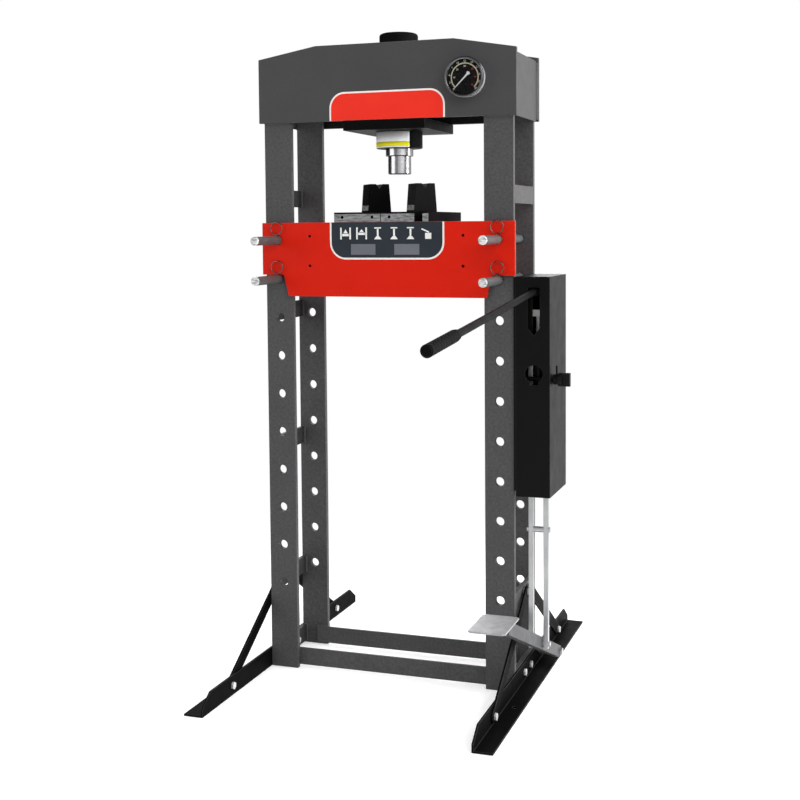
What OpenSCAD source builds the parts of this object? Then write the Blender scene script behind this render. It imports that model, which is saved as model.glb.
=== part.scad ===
// Floor-standing workshop press: a flat-bar frame with a hanging cylinder, an adjustable bed on pins,
// and a side pump that a hand lever and a foot pedal both work.
// Millimetres, +Z up, +X to the right and -Y to the front.
// The origin lies on the floor, midway between the posts.

/* [Posts] */
// Clear width between the left and right posts
clear_w = 513; // [470:1:560]
// Width of a post bar
post_w = 75; // [68:0.5:84]
// Thickness of a post bar
post_t = 15; // [12:0.5:18]
// Clear depth between the front and rear posts
clear_d = 193.2; // [185:0.1:215]
// Height of the posts
post_h = 1585; // [1540:1:1660]
// Diameter of the pin holes
hole_d = 23; // [20:0.5:26]
// Height of the lowest pin hole
hole_z0 = 228.5; // [215:0.5:240]
// Pitch of the pin holes
hole_pitch = 100; // [96:0.5:102]
// Pin holes above the bed's upper pins
spare_holes = 0; // [0:1:1]

/* [Ties and cross bars] */
// Height of a tie and of a cross bar
tie_h = 45; // [38:0.5:52]
// Thickness of a tie
tie_t = 12; // [8:0.5:15]
// Thickness of a cross bar
bar_t = 8; // [5:0.5:12]
// Lap of a cross bar on each post
bar_lap = 30; // [20:1:36]
// Underside of the lowest ties and of the cross bars
low_z = 6; // [0:0.5:10]
// Middle of the tie that the braces meet
brace_tie_z = 223.5; // [200:0.5:260]
// Middles of the upper ties, as shares of the post height
upper_tie_shares = [0.371, 0.593, 0.782];

/* [Feet and braces] */
// Length of a foot
foot_len = 1010; // [900:1:1150]
// Leg of the foot's angle section
foot_leg = 50; // [46:0.5:60]
// Wall of the foot's angle section
foot_t = 5; // [4:0.5:8]
// Length of the cut at the upper corners of a foot
foot_cut_y = 45; // [20:1:70]
// Height of the cut at the upper corners of a foot
foot_cut_z = 30; // [10:1:36]
// Diameter of the floor anchor holes
anchor_d = 12; // [8:0.5:16]
// Distance of the anchor holes from the middle
anchor_y = 222; // [215:1:280]
// Height of the foot bolts
foot_bolt_z = 26; // [22:0.5:30]
// Distance of the foot bolts from the middle
foot_bolt_y = 32; // [20:0.5:50]
// Width of a brace
brace_w = 31; // [26:0.5:32]
// Thickness of a brace
brace_t = 6; // [4:0.5:7]
// Distance of a brace's lower bolt from the middle
brace_low_y = 345; // [320:1:400]
// Distance of a brace's upper bolt from the middle
brace_top_y = 17; // [16.5:0.5:26]
// Height of a brace's upper bolt above the middle of its tie
brace_top_up = 7; // [0:0.5:9]
// Diameter of the frame bolts
bolt_d = 10; // [8:0.5:12]
// Width across the corners of the frame bolts' heads
bolt_head_d = 19; // [17:0.5:20]
// Height of the frame bolts' heads and nuts
bolt_head_h = 6; // [4:0.5:8]

/* [Beam] */
// Thickness of a beam plate
beam_t = 10; // [8:0.5:14]
// Reach of the beam past the posts
beam_over = 10.5; // [6:0.5:16]
// Height of the beam at its ends
beam_side_h = 163; // [140:1:190]
// Rise of the beam from its ends to its middle
beam_rise = 28; // [10:1:45]
// Width of the beam's flat top
beam_flat_w = 366; // [300:1:450]
// Depth of the post tops below the beam's shoulders
beam_drop = 8; // [2:0.5:15]
// Thickness of a beam end plate
end_t = 5; // [4:0.5:6]

/* [Cylinder and ram] */
// Width of the cylinder's mount plate
mount_w = 218; // [190:1:260]
// Thickness of the cylinder's mount plate
mount_t = 25; // [18:0.5:32]
// Diameter of the cylinder's collar under the mount plate
collar_d = 120; // [116:0.5:134]
// Height of the collar under the mount plate
collar_h = 42; // [34:0.5:50]
// Outer diameter of the cylinder above its collar
barrel_d = 110; // [104:0.5:112]
// Bore of the cylinder
barrel_bore = 82; // [78:0.5:88]
// Thickness of the gland and of the cylinder's closed end
gland_t = 24; // [16:0.5:28]
// Diameter of the ram
ram_d = 72; // [66:0.5:74]
// Length of the ram that shows at rest
ram_show = 20; // [10:0.5:26]
// Height of the piston on the ram
piston_h = 40; // [25:0.5:60]
// Diameter of the ram's nose
nose_d = 60; // [50:0.5:64]
// Length of the ram's nose
nose_h = 46; // [34:0.5:50]
// Diameter of the cylinder's cap
cap_d = 100; // [85:0.5:104]
// Height of the cap above the beam
cap_h = 36; // [24:0.5:50]

/* [Gauge] */
// Distance of the gauge from the end of the beam
gauge_in = 125; // [100:1:150]
// Height of the gauge above the beam's lower edge
gauge_up = 93; // [70:1:100]
// Diameter of the gauge's bezel
gauge_d = 100; // [90:0.5:110]
// Depth of the gauge's case
gauge_h = 22; // [18:0.5:30]
// Wall of the gauge's case
gauge_wall = 3; // [2.5:0.1:4]
// Height of the gauge's bezel
bezel_h = 5.5; // [4.5:0.1:7]
// Length of the needle from its pivot
needle_len = 36; // [28:0.5:38]
// Angle of the needle at zero, down from the left
needle_zero = 45; // [30:1:60]

/* [Bed] */
// Thickness of a bed plate
bed_t = 10; // [8:0.5:12]
// Reach of the front bed plate past the posts
bed_over = 6; // [2:0.5:9]
// Setback of the rear bed plate from the outer edges of the posts
bed_rear_in = 4; // [2:0.5:10]
// Least room between the V-blocks and the ram's nose
work_room = 20; // [10:1:24]
// Height of the bed's top above the lower pins
bed_up = 145.5; // [138:0.5:155]
// Depth of the bed plates below the lower pins
bed_down = 44; // [30:0.5:60]
// Slope of the lower side of a bed plate, measured along X
bed_slope = 14; // [5:0.5:40]
// Distance of a bed web from the middle
web_x = 205; // [180:1:215]
// Thickness of a bed web
web_t = 12; // [10:0.5:16]
// Height of a bed web
web_h = 110; // [96:1:118]
// Middle of a bed web above the lower pins
web_up = 72.5; // [68:0.5:76]
// Pitch of the screws of a bed web
screw_pitch = 76; // [60:0.5:80]
// Diameter of the screw holes of a bed web
screw_d = 8; // [5:0.5:8]
// Reach of the bed pins in front of the bed
pin_front = 140; // [100:1:170]
// Reach of the bed pins behind the bed
pin_rear = 12; // [4:0.5:30]
// Diameter of the clip wire
wire_d = 2.5; // [2:0.1:3]
// Middle diameter of the clip's ring
ring_d = 32; // [28:0.5:36]
// Distance of the clip in front of the bed
clip_off = 7; // [5:0.5:12]

/* [Press plates and V-blocks] */
// Thickness of the press plates
plate_t = 25; // [20:0.5:30]
// Width of a press plate
plate_w = 125; // [115:1:130]
// Gap between the press plates
plate_gap = 2; // [0.5:0.5:6]
// Left edge of the left press plate
plate_x0 = -136; // [-145:1:-125]
// Depth of the notch in the right press plate
notch_d = 24; // [15:1:30]
// Width of the notch in the right press plate
notch_w = 22; // [16:0.5:30]
// Middle of the notch from the left edge of its plate
notch_in = 99; // [80:1:105]
// Reach of the press plates behind the bed
plate_back = 44; // [20:1:60]
// Diameter of the tapped holes in the front of the press plates
tap_d = 8; // [6:0.5:10]
// Depth of the tapped holes
tap_deep = 20; // [12:1:30]
// Distance of the tapped holes from the edges of a plate
tap_in = 22; // [18:1:30]
// Width of a V-block's foot
v_w = 63; // [56:0.5:66]
// Width of a V-block's top
v_top_w = 52; // [46:0.5:56]
// Length of a V-block
v_len = 58; // [50:0.5:62]
// Height of a V-block
v_h = 72; // [60:0.5:76]
// Width of a V-block's notch
v_notch_w = 18; // [14:0.5:30]
// Turn of the V-blocks on the plates
v_turn = 38; // [0:1:45]
// Distance between the V-blocks
v_gap = 123; // [118:1:140]
// Middle of the pair of V-blocks along X
v_mid_x = 12.5; // [5:0.5:20]
// Middle of the V-blocks along Y
v_y = -45; // [-60:1:-36]

/* [Pump cover] */
// Thickness of the pump bracket
bracket_t = 6; // [5:0.5:8]
// Width of the pump cover
cover_w = 85; // [80:0.5:100]
// Front of the pump cover
cover_y0 = -118; // [-130:0.5:-117]
// Depth of the pump cover
cover_d = 188; // [180:0.5:210]
// Underside of the pump cover
cover_z0 = 496; // [470:0.5:530]
// Height of the pump cover
cover_h = 542; // [540:0.5:580]
// Sheet thickness of the pump cover
cover_t = 1.5; // [1:0.1:2.5]
// Width of the cover's inner flanges
cover_flange = 14; // [8:0.5:18]
// Width of the lever slot
slot_w = 30; // [26:0.5:34]
// Top of the lever slot below the cover's top
slot_drop = 26; // [18:0.5:28]
// Length of the lever slot down to its point
slot_len = 118; // [116:0.5:130]
// Height of the pointed end of the lever slot
slot_point = 19; // [12:0.5:19]
// Width of the access opening under the slot
port_w = 44; // [30:0.5:48]
// Middle of the access opening's round top below the cover's top
port_drop = 238; // [230:0.5:250]
// Height of the access opening below its round top
port_leg = 27; // [15:0.5:34]

/* [Lever and pump] */
// Offset of the lever from the middle of the cover
work_off = 2.5; // [0:0.5:3]
// Pivot of the lever along Y
pivot_y = -17.5; // [-20:0.5:-14]
// Pivot of the lever below the cover's top
pivot_drop = 29.4; // [28:0.1:32]
// Diameter of the lever's pivot pin
pivot_d = 12; // [10:0.5:14]
// Droop of the lever at rest
lever_droop = 4.5; // [3.5:0.1:5]
// Reach of the lever from its pivot to its tip
lever_len = 950; // [900:1:1100]
// Diameter of the lever
lever_d = 16.5; // [14:0.5:17]
// Length of the grip
grip_len = 193; // [140:1:220]
// Diameter of the grip
grip_d = 26; // [22:0.5:32]
// Width of the rocker
rocker_w = 20; // [16:0.5:22]
// Diameter of the rocker's hub
rocker_hub_d = 30; // [26:0.5:31]
// Outer diameter of the lever's socket
socket_d = 24; // [22:0.5:25]
// Length of the lever's socket
socket_len = 30; // [24:1:32]
// Back of the lever's socket, in front of the pivot
socket_back = 58; // [57:0.5:62]
// Reach of the rocker from its pivot to the link pin
rocker_r = 50; // [46:0.5:54]
// Rise of the link pin above the pivot, as an angle
rocker_rise = 13.5; // [12:0.1:14]
// Side of a pull link's square bar
link_side = 12; // [10:0.5:13]
// Distance between the middles of the pull links
link_gap = 38; // [37.5:0.5:40]
// Diameter of the pins at the ends of the links
link_pin_d = 10; // [8:0.5:10]
// Height of the bolt that spaces the links
spacer_z = 406; // [380:1:440]
// Diameter of the sleeve on the links' spacer bolt
spacer_d = 15; // [13:0.5:20]
// Width of the pump body
pump_w = 64; // [58:0.5:68]
// Depth of the pump body
pump_d = 78; // [74:0.5:80]
// Height of the pump body
pump_h = 150; // [130:1:170]
// Underside of the pump body
pump_z0 = 700; // [680:1:715]
// Diameter of the reservoir
tank_d = 56; // [44:0.5:60]
// Height of the reservoir under the pump body
tank_h = 130; // [90:1:150]
// Diameter of the plunger
plunger_d = 12; // [11:0.5:13]
// Height of the plunger's crosshead
cross_h = 16; // [12:0.5:20]
// Top of the crosshead below the lever's pivot
cross_drop = 54; // [52:0.5:60]
// Distance of the release knob in front of the links
knob_fwd = 18; // [17.5:0.5:20]
// Height of the release knob above the pump's underside
knob_up = 85; // [70:0.5:87]
// Diameter of the release knob
knob_d = 34; // [28:0.5:40]
// Length of the release knob's grip
knob_len = 28; // [24:0.5:44]
// Distance of the knob's grip from the cover
knob_off = 15; // [10:0.5:30]
// Diameter of the release valve's stem
stem_d = 10; // [8:0.5:12]

/* [Pedal] */
// Pivot of the pedal along Y
pedal_y = 140.5; // [136:0.5:146]
// Height of the pedal's pivot
pedal_z = 31; // [28:0.5:32]
// Rise of the pedal's arm at rest
pedal_rise = 22.5; // [21:0.1:24]
// Length of the pedal's arm from its pivot
pedal_len = 585; // [560:1:600]
// Height of the pedal's arm
arm_h = 30; // [26:0.5:32]
// Width of the pedal's arm
arm_w = 20; // [16:0.5:22]
// Diameter of the pedal's pivot bolt
pedal_bolt_d = 14; // [10:0.5:16]
// Width of the pedal plate
pedal_w = 88; // [70:1:100]
// Depth of the pedal plate
pedal_d = 138; // [120:1:160]
// Thickness of the pedal plate
pedal_t = 4; // [3:0.5:6]
// Cut corners of the pedal plate
pedal_cut = 7; // [4:0.5:12]

/* [Hidden] */
$fn = 64;

// Overrun of every cut past the face that it opens
over = 1;
// Radial clearance of a pin or bolt that stays in its hole
hold_gap = 0.3;
// Radial clearance of a turning or sliding fit
run_gap = 0.05;
// Clearance beside a moving piece
side_gap = 0.3;
// Radial clearance of a pin in a slot of the linkage
slot_gap = 0.4;
// Small edge break on turned pieces
edge = 2;

// Posts
post_in_x = clear_w / 2;
post_x = post_in_x + post_w / 2;
post_out_x = post_in_x + post_w;
post_in_y = clear_d / 2;
post_out_y = post_in_y + post_t;

// Ties, feet and braces
tie_in_x = post_out_x - tie_t;
tie_zs = concat([low_z + tie_h / 2, brace_tie_z], [for (s = upper_tie_shares) s * post_h]);
foot_x1 = post_out_x + foot_t;
brace_x1 = foot_x1 + brace_t;
brace_top_z = brace_tie_z + brace_top_up;
brace_low_z = foot_leg / 2;
brace_run = brace_low_y - brace_top_y;
brace_len = sqrt(pow(brace_run, 2) + pow(brace_top_z - brace_low_z, 2));
brace_rise = atan2(brace_top_z - brace_low_z, brace_run);
bolt_hole_d = bolt_d + 2 * hold_gap;
anchor_x = foot_x1 + (foot_leg - foot_t) / 2;

// Beam, cylinder and ram
plate_out_y = post_out_y + beam_t;
beam_shoulder_z = post_h + beam_drop;
beam_z0 = beam_shoulder_z - beam_side_h;
beam_z1 = beam_shoulder_z + beam_rise;
beam_half_w = post_out_x + beam_over;
mount_z0 = beam_z0 - mount_t;
collar_z0 = mount_z0 - collar_h;
barrel_top_in = beam_z1 - gland_t;
ram_z0 = collar_z0 - ram_show;
ram_top_gap = 1;
nose_z0 = ram_z0 - nose_h;

// Gauge
gauge_x = beam_half_w - gauge_in;
gauge_z = beam_z0 + gauge_up;
gauge_r = gauge_d / 2;
case_r = gauge_r - edge;
case_in_r = case_r - gauge_wall;
gauge_y1 = -plate_out_y - gauge_h;
glass_t = 1.5;
glass_r = case_in_r + edge / 2;
dial_t = 2;
dial_deep = 5;
dial_y = gauge_y1 + dial_deep;
needle_t = 1.2;
needle_up = 2.5;
needle_y = dial_y - needle_up;
needle_w = 5;
needle_tip_w = 1.2;
needle_tail = 14;
needle_hub_d = 11;
needle_shaft_d = 4;

// Bed
pin_d = hole_d - 2 * hold_gap;
bed_stack = bed_up + plate_t + v_h;
bed_hole = floor((nose_z0 - work_room - bed_stack - hole_z0) / hole_pitch);
hole_n = bed_hole + 2 + spare_holes;
pin_low_z = hole_z0 + bed_hole * hole_pitch;
pin_up_z = pin_low_z + hole_pitch;
seat_gap = 0.1;
bed_z1 = pin_low_z + bed_up;
bed_z0 = pin_low_z - bed_down;
bed_seat_z = pin_low_z + pin_d / 2 + seat_gap;
bed_half_w = post_out_x + bed_over;
bed_rear_half_w = post_out_x - bed_rear_in;
bed_ledge_x = post_x - hole_d / 2 - 2 * edge;
bed_out_y = post_out_y + bed_t;
pin_y0 = -bed_out_y - pin_front;
pin_y1 = bed_out_y + pin_rear;
clip_y = -bed_out_y - clip_off;
clip_hole_d = wire_d + 2 * hold_gap;
clip_leg = pin_d / 2 + wire_d;

// Press plates and V-blocks
plate_z1 = bed_z1 + plate_t;
plate_b_x0 = plate_x0 + plate_w + plate_gap;

// Pump cover, lever, links and pedal
bracket_x1 = post_out_x + bracket_t;
cover_x1 = bracket_x1 + cover_w;
cover_z1 = cover_z0 + cover_h;
cover_y1 = cover_y0 + cover_d;
work_x = bracket_x1 + cover_w / 2 + work_off;
pivot_z = cover_z1 - pivot_drop;
link_y = pivot_y - rocker_r * cos(rocker_rise);
link_top_z = pivot_z + rocker_r * sin(rocker_rise);
link_sag = rocker_r - rocker_r * cos(rocker_rise);
lever_travel = 2 * rocker_rise;
link_stroke = 2 * rocker_r * sin(rocker_rise);
link_in_x = work_x - link_gap / 2;
link_out_x = work_x + link_gap / 2;
link_inner_w = link_gap - link_side;
pedal_run = pedal_y - link_y;
link_low_z = pedal_z + pedal_run * tan(pedal_rise);
pedal_pin_r = pedal_run / cos(pedal_rise);
pedal_pin_r2 = sqrt(pow(pedal_run, 2) + pow(link_low_z - link_stroke - pedal_z, 2));
pedal_end_y = pedal_y - pedal_len * cos(pedal_rise);
pedal_x1 = work_x + arm_w / 2;
pedal_y0 = pedal_end_y - pedal_d * 3 / 10;
pedal_seat_y = pedal_end_y + pedal_d * 2 / 5;
pedal_seat_z = pedal_z + (pedal_y - pedal_seat_y) * tan(pedal_rise) + arm_h / 2 / cos(pedal_rise);
pump_y0 = link_y + link_side;
pump_y1 = pump_y0 + pump_d;
pump_z1 = pump_z0 + pump_h;
boss_d = link_inner_w - 4 * edge;
cross_z1 = pivot_z - cross_drop;
plunger_z0 = pump_z1 - pump_h / 3;
knob_y = link_y - knob_fwd;
knob_z = pump_z0 + knob_up;
knob_x0 = cover_x1 + knob_off;
stem_depth = stem_d;
valve_x1 = link_in_x - link_side;
valve_half = 5 / 4 * stem_d;

// Box between two opposite corners
module slab(a, b) {
    translate(a) cube(b - a);
}

// Round bars along the axes
module rod_x(d, x0, x1, y, z) {
    translate([x0, y, z]) rotate([0, 90, 0]) cylinder(d = d, h = x1 - x0);
}
module rod_y(d, y0, y1, x, z) {
    translate([x, y0, z]) rotate([-90, 0, 0]) cylinder(d = d, h = y1 - y0);
}
module rod_z(d, z0, z1, x, y) {
    translate([x, y, z0]) cylinder(d = d, h = z1 - z0);
}

// Six-sided bar along X
module hex_x(d, x0, x1, y, z) {
    translate([x0, y, z]) rotate([0, 90, 0]) cylinder(d = d, h = x1 - x0, $fn = 6);
}

// Outline in Y and Z, drawn out along X
module along_x(x0, x1) {
    translate([x0, 0, 0]) rotate([90, 0, 90]) linear_extrude(height = x1 - x0) children();
}

// Outline in X and Z, drawn out along Y
module along_y(y0, y1) {
    translate([0, y1, 0]) rotate([90, 0, 0]) linear_extrude(height = y1 - y0) children();
}

// One solid for the right or the left side
module to_side(side) {
    if (side > 0) children();
    else mirror([1, 0, 0]) children();
}

// One solid for the rear or the front
module to_face(face) {
    if (face > 0) children();
    else mirror([0, 1, 0]) children();
}

// Flat post bar with its row of pin holes, at the right rear
module post_bar() {
    difference() {
        slab([post_in_x, post_in_y, 0], [post_out_x, post_out_y, post_h]);
        for (k = [0 : hole_n - 1])
            rod_y(hole_d, post_in_y - over, post_out_y + over, post_x, hole_z0 + k * hole_pitch);
    }
}
module post_front_left() { color("dimgray") to_side(-1) to_face(-1) post_bar(); }
module post_front_right() { color("dimgray") to_side(1) to_face(-1) post_bar(); }
module post_rear_left() { color("dimgray") to_side(-1) to_face(1) post_bar(); }
module post_rear_right() { color("dimgray") to_side(1) to_face(1) post_bar(); }

// Ties between the front and rear posts of one side, flush with their outer edges
module side_ties() {
    difference() {
        for (z = tie_zs)
            slab([tie_in_x, -post_in_y, z - tie_h / 2], [post_out_x, post_in_y, z + tie_h / 2]);
        for (f = [-1, 1]) {
            rod_x(bolt_hole_d, tie_in_x - over, post_out_x + over, f * foot_bolt_y, foot_bolt_z);
            rod_x(bolt_hole_d, tie_in_x - over, post_out_x + over, f * brace_top_y, brace_top_z);
        }
    }
}
module ties_left() { color("dimgray") to_side(-1) side_ties(); }
module ties_right() { color("dimgray") to_side(1) side_ties(); }

// Cross bar on the inner faces of two posts
module cross_bar() {
    bar_x = post_in_x + bar_lap;
    slab([-bar_x, post_in_y - bar_t, low_z], [bar_x, post_in_y, low_z + tie_h]);
}
module cross_bar_front() { color("dimgray") to_face(-1) cross_bar(); }
module cross_bar_rear() { color("dimgray") to_face(1) cross_bar(); }

// Angle-section foot with cut upper corners
module foot_angle(with_pedal) {
    half = foot_len / 2;
    low = foot_leg - foot_cut_z;
    difference() {
        union() {
            along_x(post_out_x, foot_x1)
                polygon([[-half, 0], [half, 0], [half, low], [half - foot_cut_y, foot_leg],
                         [foot_cut_y - half, foot_leg], [-half, low]]);
            slab([post_out_x, -half, 0], [post_out_x + foot_leg, half, foot_t]);
        }
        for (f = [-1, 1]) {
            rod_z(anchor_d, -over, foot_t + over, anchor_x, f * anchor_y);
            rod_x(bolt_hole_d, post_out_x - over, foot_x1 + over, f * foot_bolt_y, foot_bolt_z);
            rod_x(bolt_hole_d, post_out_x - over, foot_x1 + over, f * brace_low_y, brace_low_z);
        }
        if (with_pedal)
            rod_x(pedal_bolt_d + 2 * hold_gap, post_out_x - over, foot_x1 + over, pedal_y, pedal_z);
    }
}
module foot_left() { color([0.1, 0.1, 0.1]) to_side(-1) foot_angle(false); }
module foot_right() { color([0.1, 0.1, 0.1]) to_side(1) foot_angle(true); }

// Diagonal brace with round ends and a bolt hole at each end, at the right rear
module brace_bar() {
    along_x(foot_x1, brace_x1)
        translate([brace_low_y, brace_low_z]) rotate(-brace_rise)
            difference() {
                union() {
                    translate([-brace_len, -brace_w / 2]) square([brace_len, brace_w]);
                    circle(d = brace_w);
                    translate([-brace_len, 0]) circle(d = brace_w);
                }
                circle(d = bolt_hole_d);
                translate([-brace_len, 0]) circle(d = bolt_hole_d);
            }
}
module brace_front_left() { color([0.1, 0.1, 0.1]) to_side(-1) to_face(-1) brace_bar(); }
module brace_rear_left() { color([0.1, 0.1, 0.1]) to_side(-1) to_face(1) brace_bar(); }
module brace_front_right() { color([0.1, 0.1, 0.1]) to_side(1) to_face(-1) brace_bar(); }
module brace_rear_right() { color([0.1, 0.1, 0.1]) to_side(1) to_face(1) brace_bar(); }

// Hex bolt along X with its nut, gripping from x0 to x1
module hex_bolt(x0, x1, y, z) {
    hex_x(bolt_head_d, x0 - bolt_head_h, x0, y, z);
    rod_x(bolt_d, x0, x1, y, z);
    hex_x(bolt_head_d, x1, x1 + bolt_head_h, y, z);
}

// Washer that spaces a brace from its tie
module brace_washer(y, z) {
    difference() {
        rod_x(bolt_head_d, post_out_x, foot_x1, y, z);
        rod_x(bolt_d, post_out_x - over, foot_x1 + over, y, z);
    }
}
module frame_bolts() {
    color("silver")
        for (s = [-1, 1], f = [-1, 1]) to_side(s) {
            hex_bolt(tie_in_x, foot_x1, f * foot_bolt_y, foot_bolt_z);
            hex_bolt(post_out_x, brace_x1, f * brace_low_y, brace_low_z);
            hex_bolt(tie_in_x, brace_x1, f * brace_top_y, brace_top_z);
            brace_washer(f * brace_top_y, brace_top_z);
        }
}

// Beam plate with a raised middle, at the rear
module beam_plate() {
    knee = beam_flat_w / 2;
    along_y(post_out_y, plate_out_y)
        polygon([[-beam_half_w, beam_z0], [beam_half_w, beam_z0], [beam_half_w, beam_shoulder_z],
                 [knee, beam_z1], [-knee, beam_z1], [-beam_half_w, beam_shoulder_z]]);
}
module beam_front_plate() { color("dimgray") to_face(-1) beam_plate(); }
module beam_rear_plate() { color("dimgray") to_face(1) beam_plate(); }

// End plate of the beam, on the outer edges of the posts
module beam_end() {
    slab([post_out_x, -post_out_y, beam_z0], [post_out_x + end_t, post_out_y, post_h]);
}
module beam_end_left() { color("dimgray") to_side(-1) beam_end(); }
module beam_end_right() { color("dimgray") to_side(1) beam_end(); }

// Plate under the beam that carries the cylinder
module cylinder_mount_plate() {
    color("dimgray") difference() {
        slab([-mount_w / 2, -plate_out_y, mount_z0], [mount_w / 2, plate_out_y, beam_z0]);
        rod_z(barrel_d + 2 * hold_gap, mount_z0 - over, beam_z0 + over, 0, 0);
    }
}

// Turned cylinder with a collar under its mount plate, a gland and a closed top
module cylinder_barrel() {
    gland_z = collar_z0 + gland_t;
    ram_hole = ram_d / 2 + run_gap;
    color([0.12, 0.12, 0.12]) rotate_extrude()
        polygon([[ram_hole, collar_z0], [collar_d / 2 - edge, collar_z0], [collar_d / 2, collar_z0 + edge],
                 [collar_d / 2, mount_z0], [barrel_d / 2, mount_z0], [barrel_d / 2, beam_z1], [0, beam_z1],
                 [0, barrel_top_in], [barrel_bore / 2, barrel_top_in], [barrel_bore / 2, gland_z],
                 [ram_hole, gland_z]]);
}

// Domed cap on the cylinder's closed end
module cylinder_cap() {
    r = cap_d / 2;
    color([0.1, 0.1, 0.1]) translate([0, 0, beam_z1]) rotate_extrude()
        polygon([[0, 0], [r, 0], [r, cap_h - 3 * edge], [r - edge, cap_h - edge], [r - 3 * edge, cap_h],
                 [0, cap_h]]);
}

// Ram with its piston, inside the cylinder
module ram() {
    piston_r = barrel_bore / 2 - run_gap;
    piston_z1 = barrel_top_in - ram_top_gap;
    piston_z0 = piston_z1 - piston_h;
    color("silver") rotate_extrude()
        polygon([[0, ram_z0], [ram_d / 2 - edge, ram_z0], [ram_d / 2, ram_z0 + edge], [ram_d / 2, piston_z0],
                 [piston_r, piston_z0], [piston_r, piston_z1], [0, piston_z1]]);
}

// Nose under the ram
module ram_nose() {
    r = nose_d / 2;
    color("silver") rotate_extrude()
        polygon([[0, nose_z0], [r - edge, nose_z0], [r, nose_z0 + edge], [r, ram_z0], [0, ram_z0]]);
}

// Turned gauge piece about the gauge's own axis, with Z of the outline toward the front
module gauge_turn() {
    translate([gauge_x, -plate_out_y, gauge_z]) rotate([90, 0, 0]) rotate_extrude() children();
}
module gauge_case() {
    color([0.15, 0.15, 0.15]) difference() {
        gauge_turn()
            polygon([[0, 0], [case_r - edge, 0], [case_r, edge], [case_r, gauge_h], [case_in_r, gauge_h],
                     [case_in_r, gauge_wall], [needle_hub_d, gauge_wall],
                     [needle_hub_d, -dial_y - dial_t - plate_out_y], [0, -dial_y - dial_t - plate_out_y]]);
        rod_y(needle_shaft_d + 2 * run_gap, dial_y - over, -plate_out_y - gauge_wall, gauge_x, gauge_z);
    }
}
module gauge_dial() {
    color("black") difference() {
        rod_y(2 * (case_in_r - hold_gap), dial_y, dial_y + dial_t, gauge_x, gauge_z);
        rod_y(needle_shaft_d + 2 * run_gap, dial_y - over, dial_y + dial_t + over, gauge_x, gauge_z);
    }
}
module gauge_needle() {
    color("white") {
        translate([gauge_x, 0, gauge_z]) rotate([0, -needle_zero, 0])
            along_y(needle_y, needle_y + needle_t)
                polygon([[-needle_len, -needle_tip_w / 2], [needle_tail, -needle_w / 2],
                         [needle_tail, needle_w / 2], [-needle_len, needle_tip_w / 2]]);
        rod_y(needle_hub_d, needle_y, needle_y + needle_t, gauge_x, gauge_z);
        rod_y(needle_shaft_d, needle_y, dial_y + 2 * dial_t, gauge_x, gauge_z);
    }
}
module gauge_glass() {
    color([0.8, 0.9, 0.95, 0.4]) rod_y(2 * glass_r, gauge_y1 - glass_t, gauge_y1, gauge_x, gauge_z);
}
module gauge_bezel() {
    seat_r = glass_r + hold_gap;
    seat_h = gauge_h + glass_t;
    top_h = gauge_h + bezel_h;
    color("silver") gauge_turn()
        polygon([[seat_r, gauge_h], [gauge_r, gauge_h], [gauge_r, top_h - edge], [gauge_r - edge, top_h],
                 [case_in_r, top_h], [case_in_r - edge, top_h - edge], [case_in_r - edge, seat_h],
                 [seat_r, seat_h]]);
}

// Bed plate that hangs over the lower pins and is threaded by the upper ones, at the rear
module bed_plate(half_w) {
    foot_x = bed_ledge_x - bed_slope;
    difference() {
        along_y(post_out_y, bed_out_y)
            polygon([[-half_w, bed_z1], [-half_w, bed_seat_z], [-bed_ledge_x, bed_seat_z], [-foot_x, bed_z0],
                     [foot_x, bed_z0], [bed_ledge_x, bed_seat_z], [half_w, bed_seat_z], [half_w, bed_z1]]);
        for (s = [-1, 1]) {
            rod_y(hole_d, post_out_y - over, bed_out_y + over, s * post_x, pin_up_z);
            for (u = [-1, 1])
                rod_y(screw_d, post_out_y - over, bed_out_y + over, s * web_x,
                      pin_low_z + web_up + u * screw_pitch / 2);
        }
    }
}
module bed_front_plate() { color([0.8, 0.13, 0.08]) to_face(-1) bed_plate(bed_half_w); }
module bed_rear_plate() { color([0.8, 0.13, 0.08]) to_face(1) bed_plate(bed_rear_half_w); }

// Web between the bed plates, tapped for their screws
module bed_web() {
    z = pin_low_z + web_up;
    difference() {
        slab([web_x - web_t / 2, -post_out_y, z - web_h / 2], [web_x + web_t / 2, post_out_y, z + web_h / 2]);
        for (f = [-1, 1], u = [-1, 1]) to_face(f)
            rod_y(screw_d, post_out_y - 2 * screw_d, post_out_y + over, web_x, z + u * screw_pitch / 2);
    }
}
module bed_web_left() { color([0.8, 0.13, 0.08]) to_side(-1) bed_web(); }
module bed_web_right() { color([0.8, 0.13, 0.08]) to_side(1) bed_web(); }

// Bed pin with a cross hole for its clip close to the bed
module bed_pin(z) {
    difference() {
        union() {
            rod_y(pin_d, pin_y0 + edge, pin_y1 - edge, post_x, z);
            translate([post_x, pin_y0, z]) rotate([-90, 0, 0])
                cylinder(d1 = pin_d - 2 * edge, d2 = pin_d, h = edge);
            translate([post_x, pin_y1 - edge, z]) rotate([-90, 0, 0])
                cylinder(d1 = pin_d, d2 = pin_d - 2 * edge, h = edge);
        }
        rod_z(clip_hole_d, z - pin_d, z + pin_d, post_x, clip_y);
    }
}
module pin_upper_left() { color("silver") to_side(-1) bed_pin(pin_up_z); }
module pin_upper_right() { color("silver") to_side(1) bed_pin(pin_up_z); }
module pin_lower_left() { color("silver") to_side(-1) bed_pin(pin_low_z); }
module pin_lower_right() { color("silver") to_side(1) bed_pin(pin_low_z); }

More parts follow.
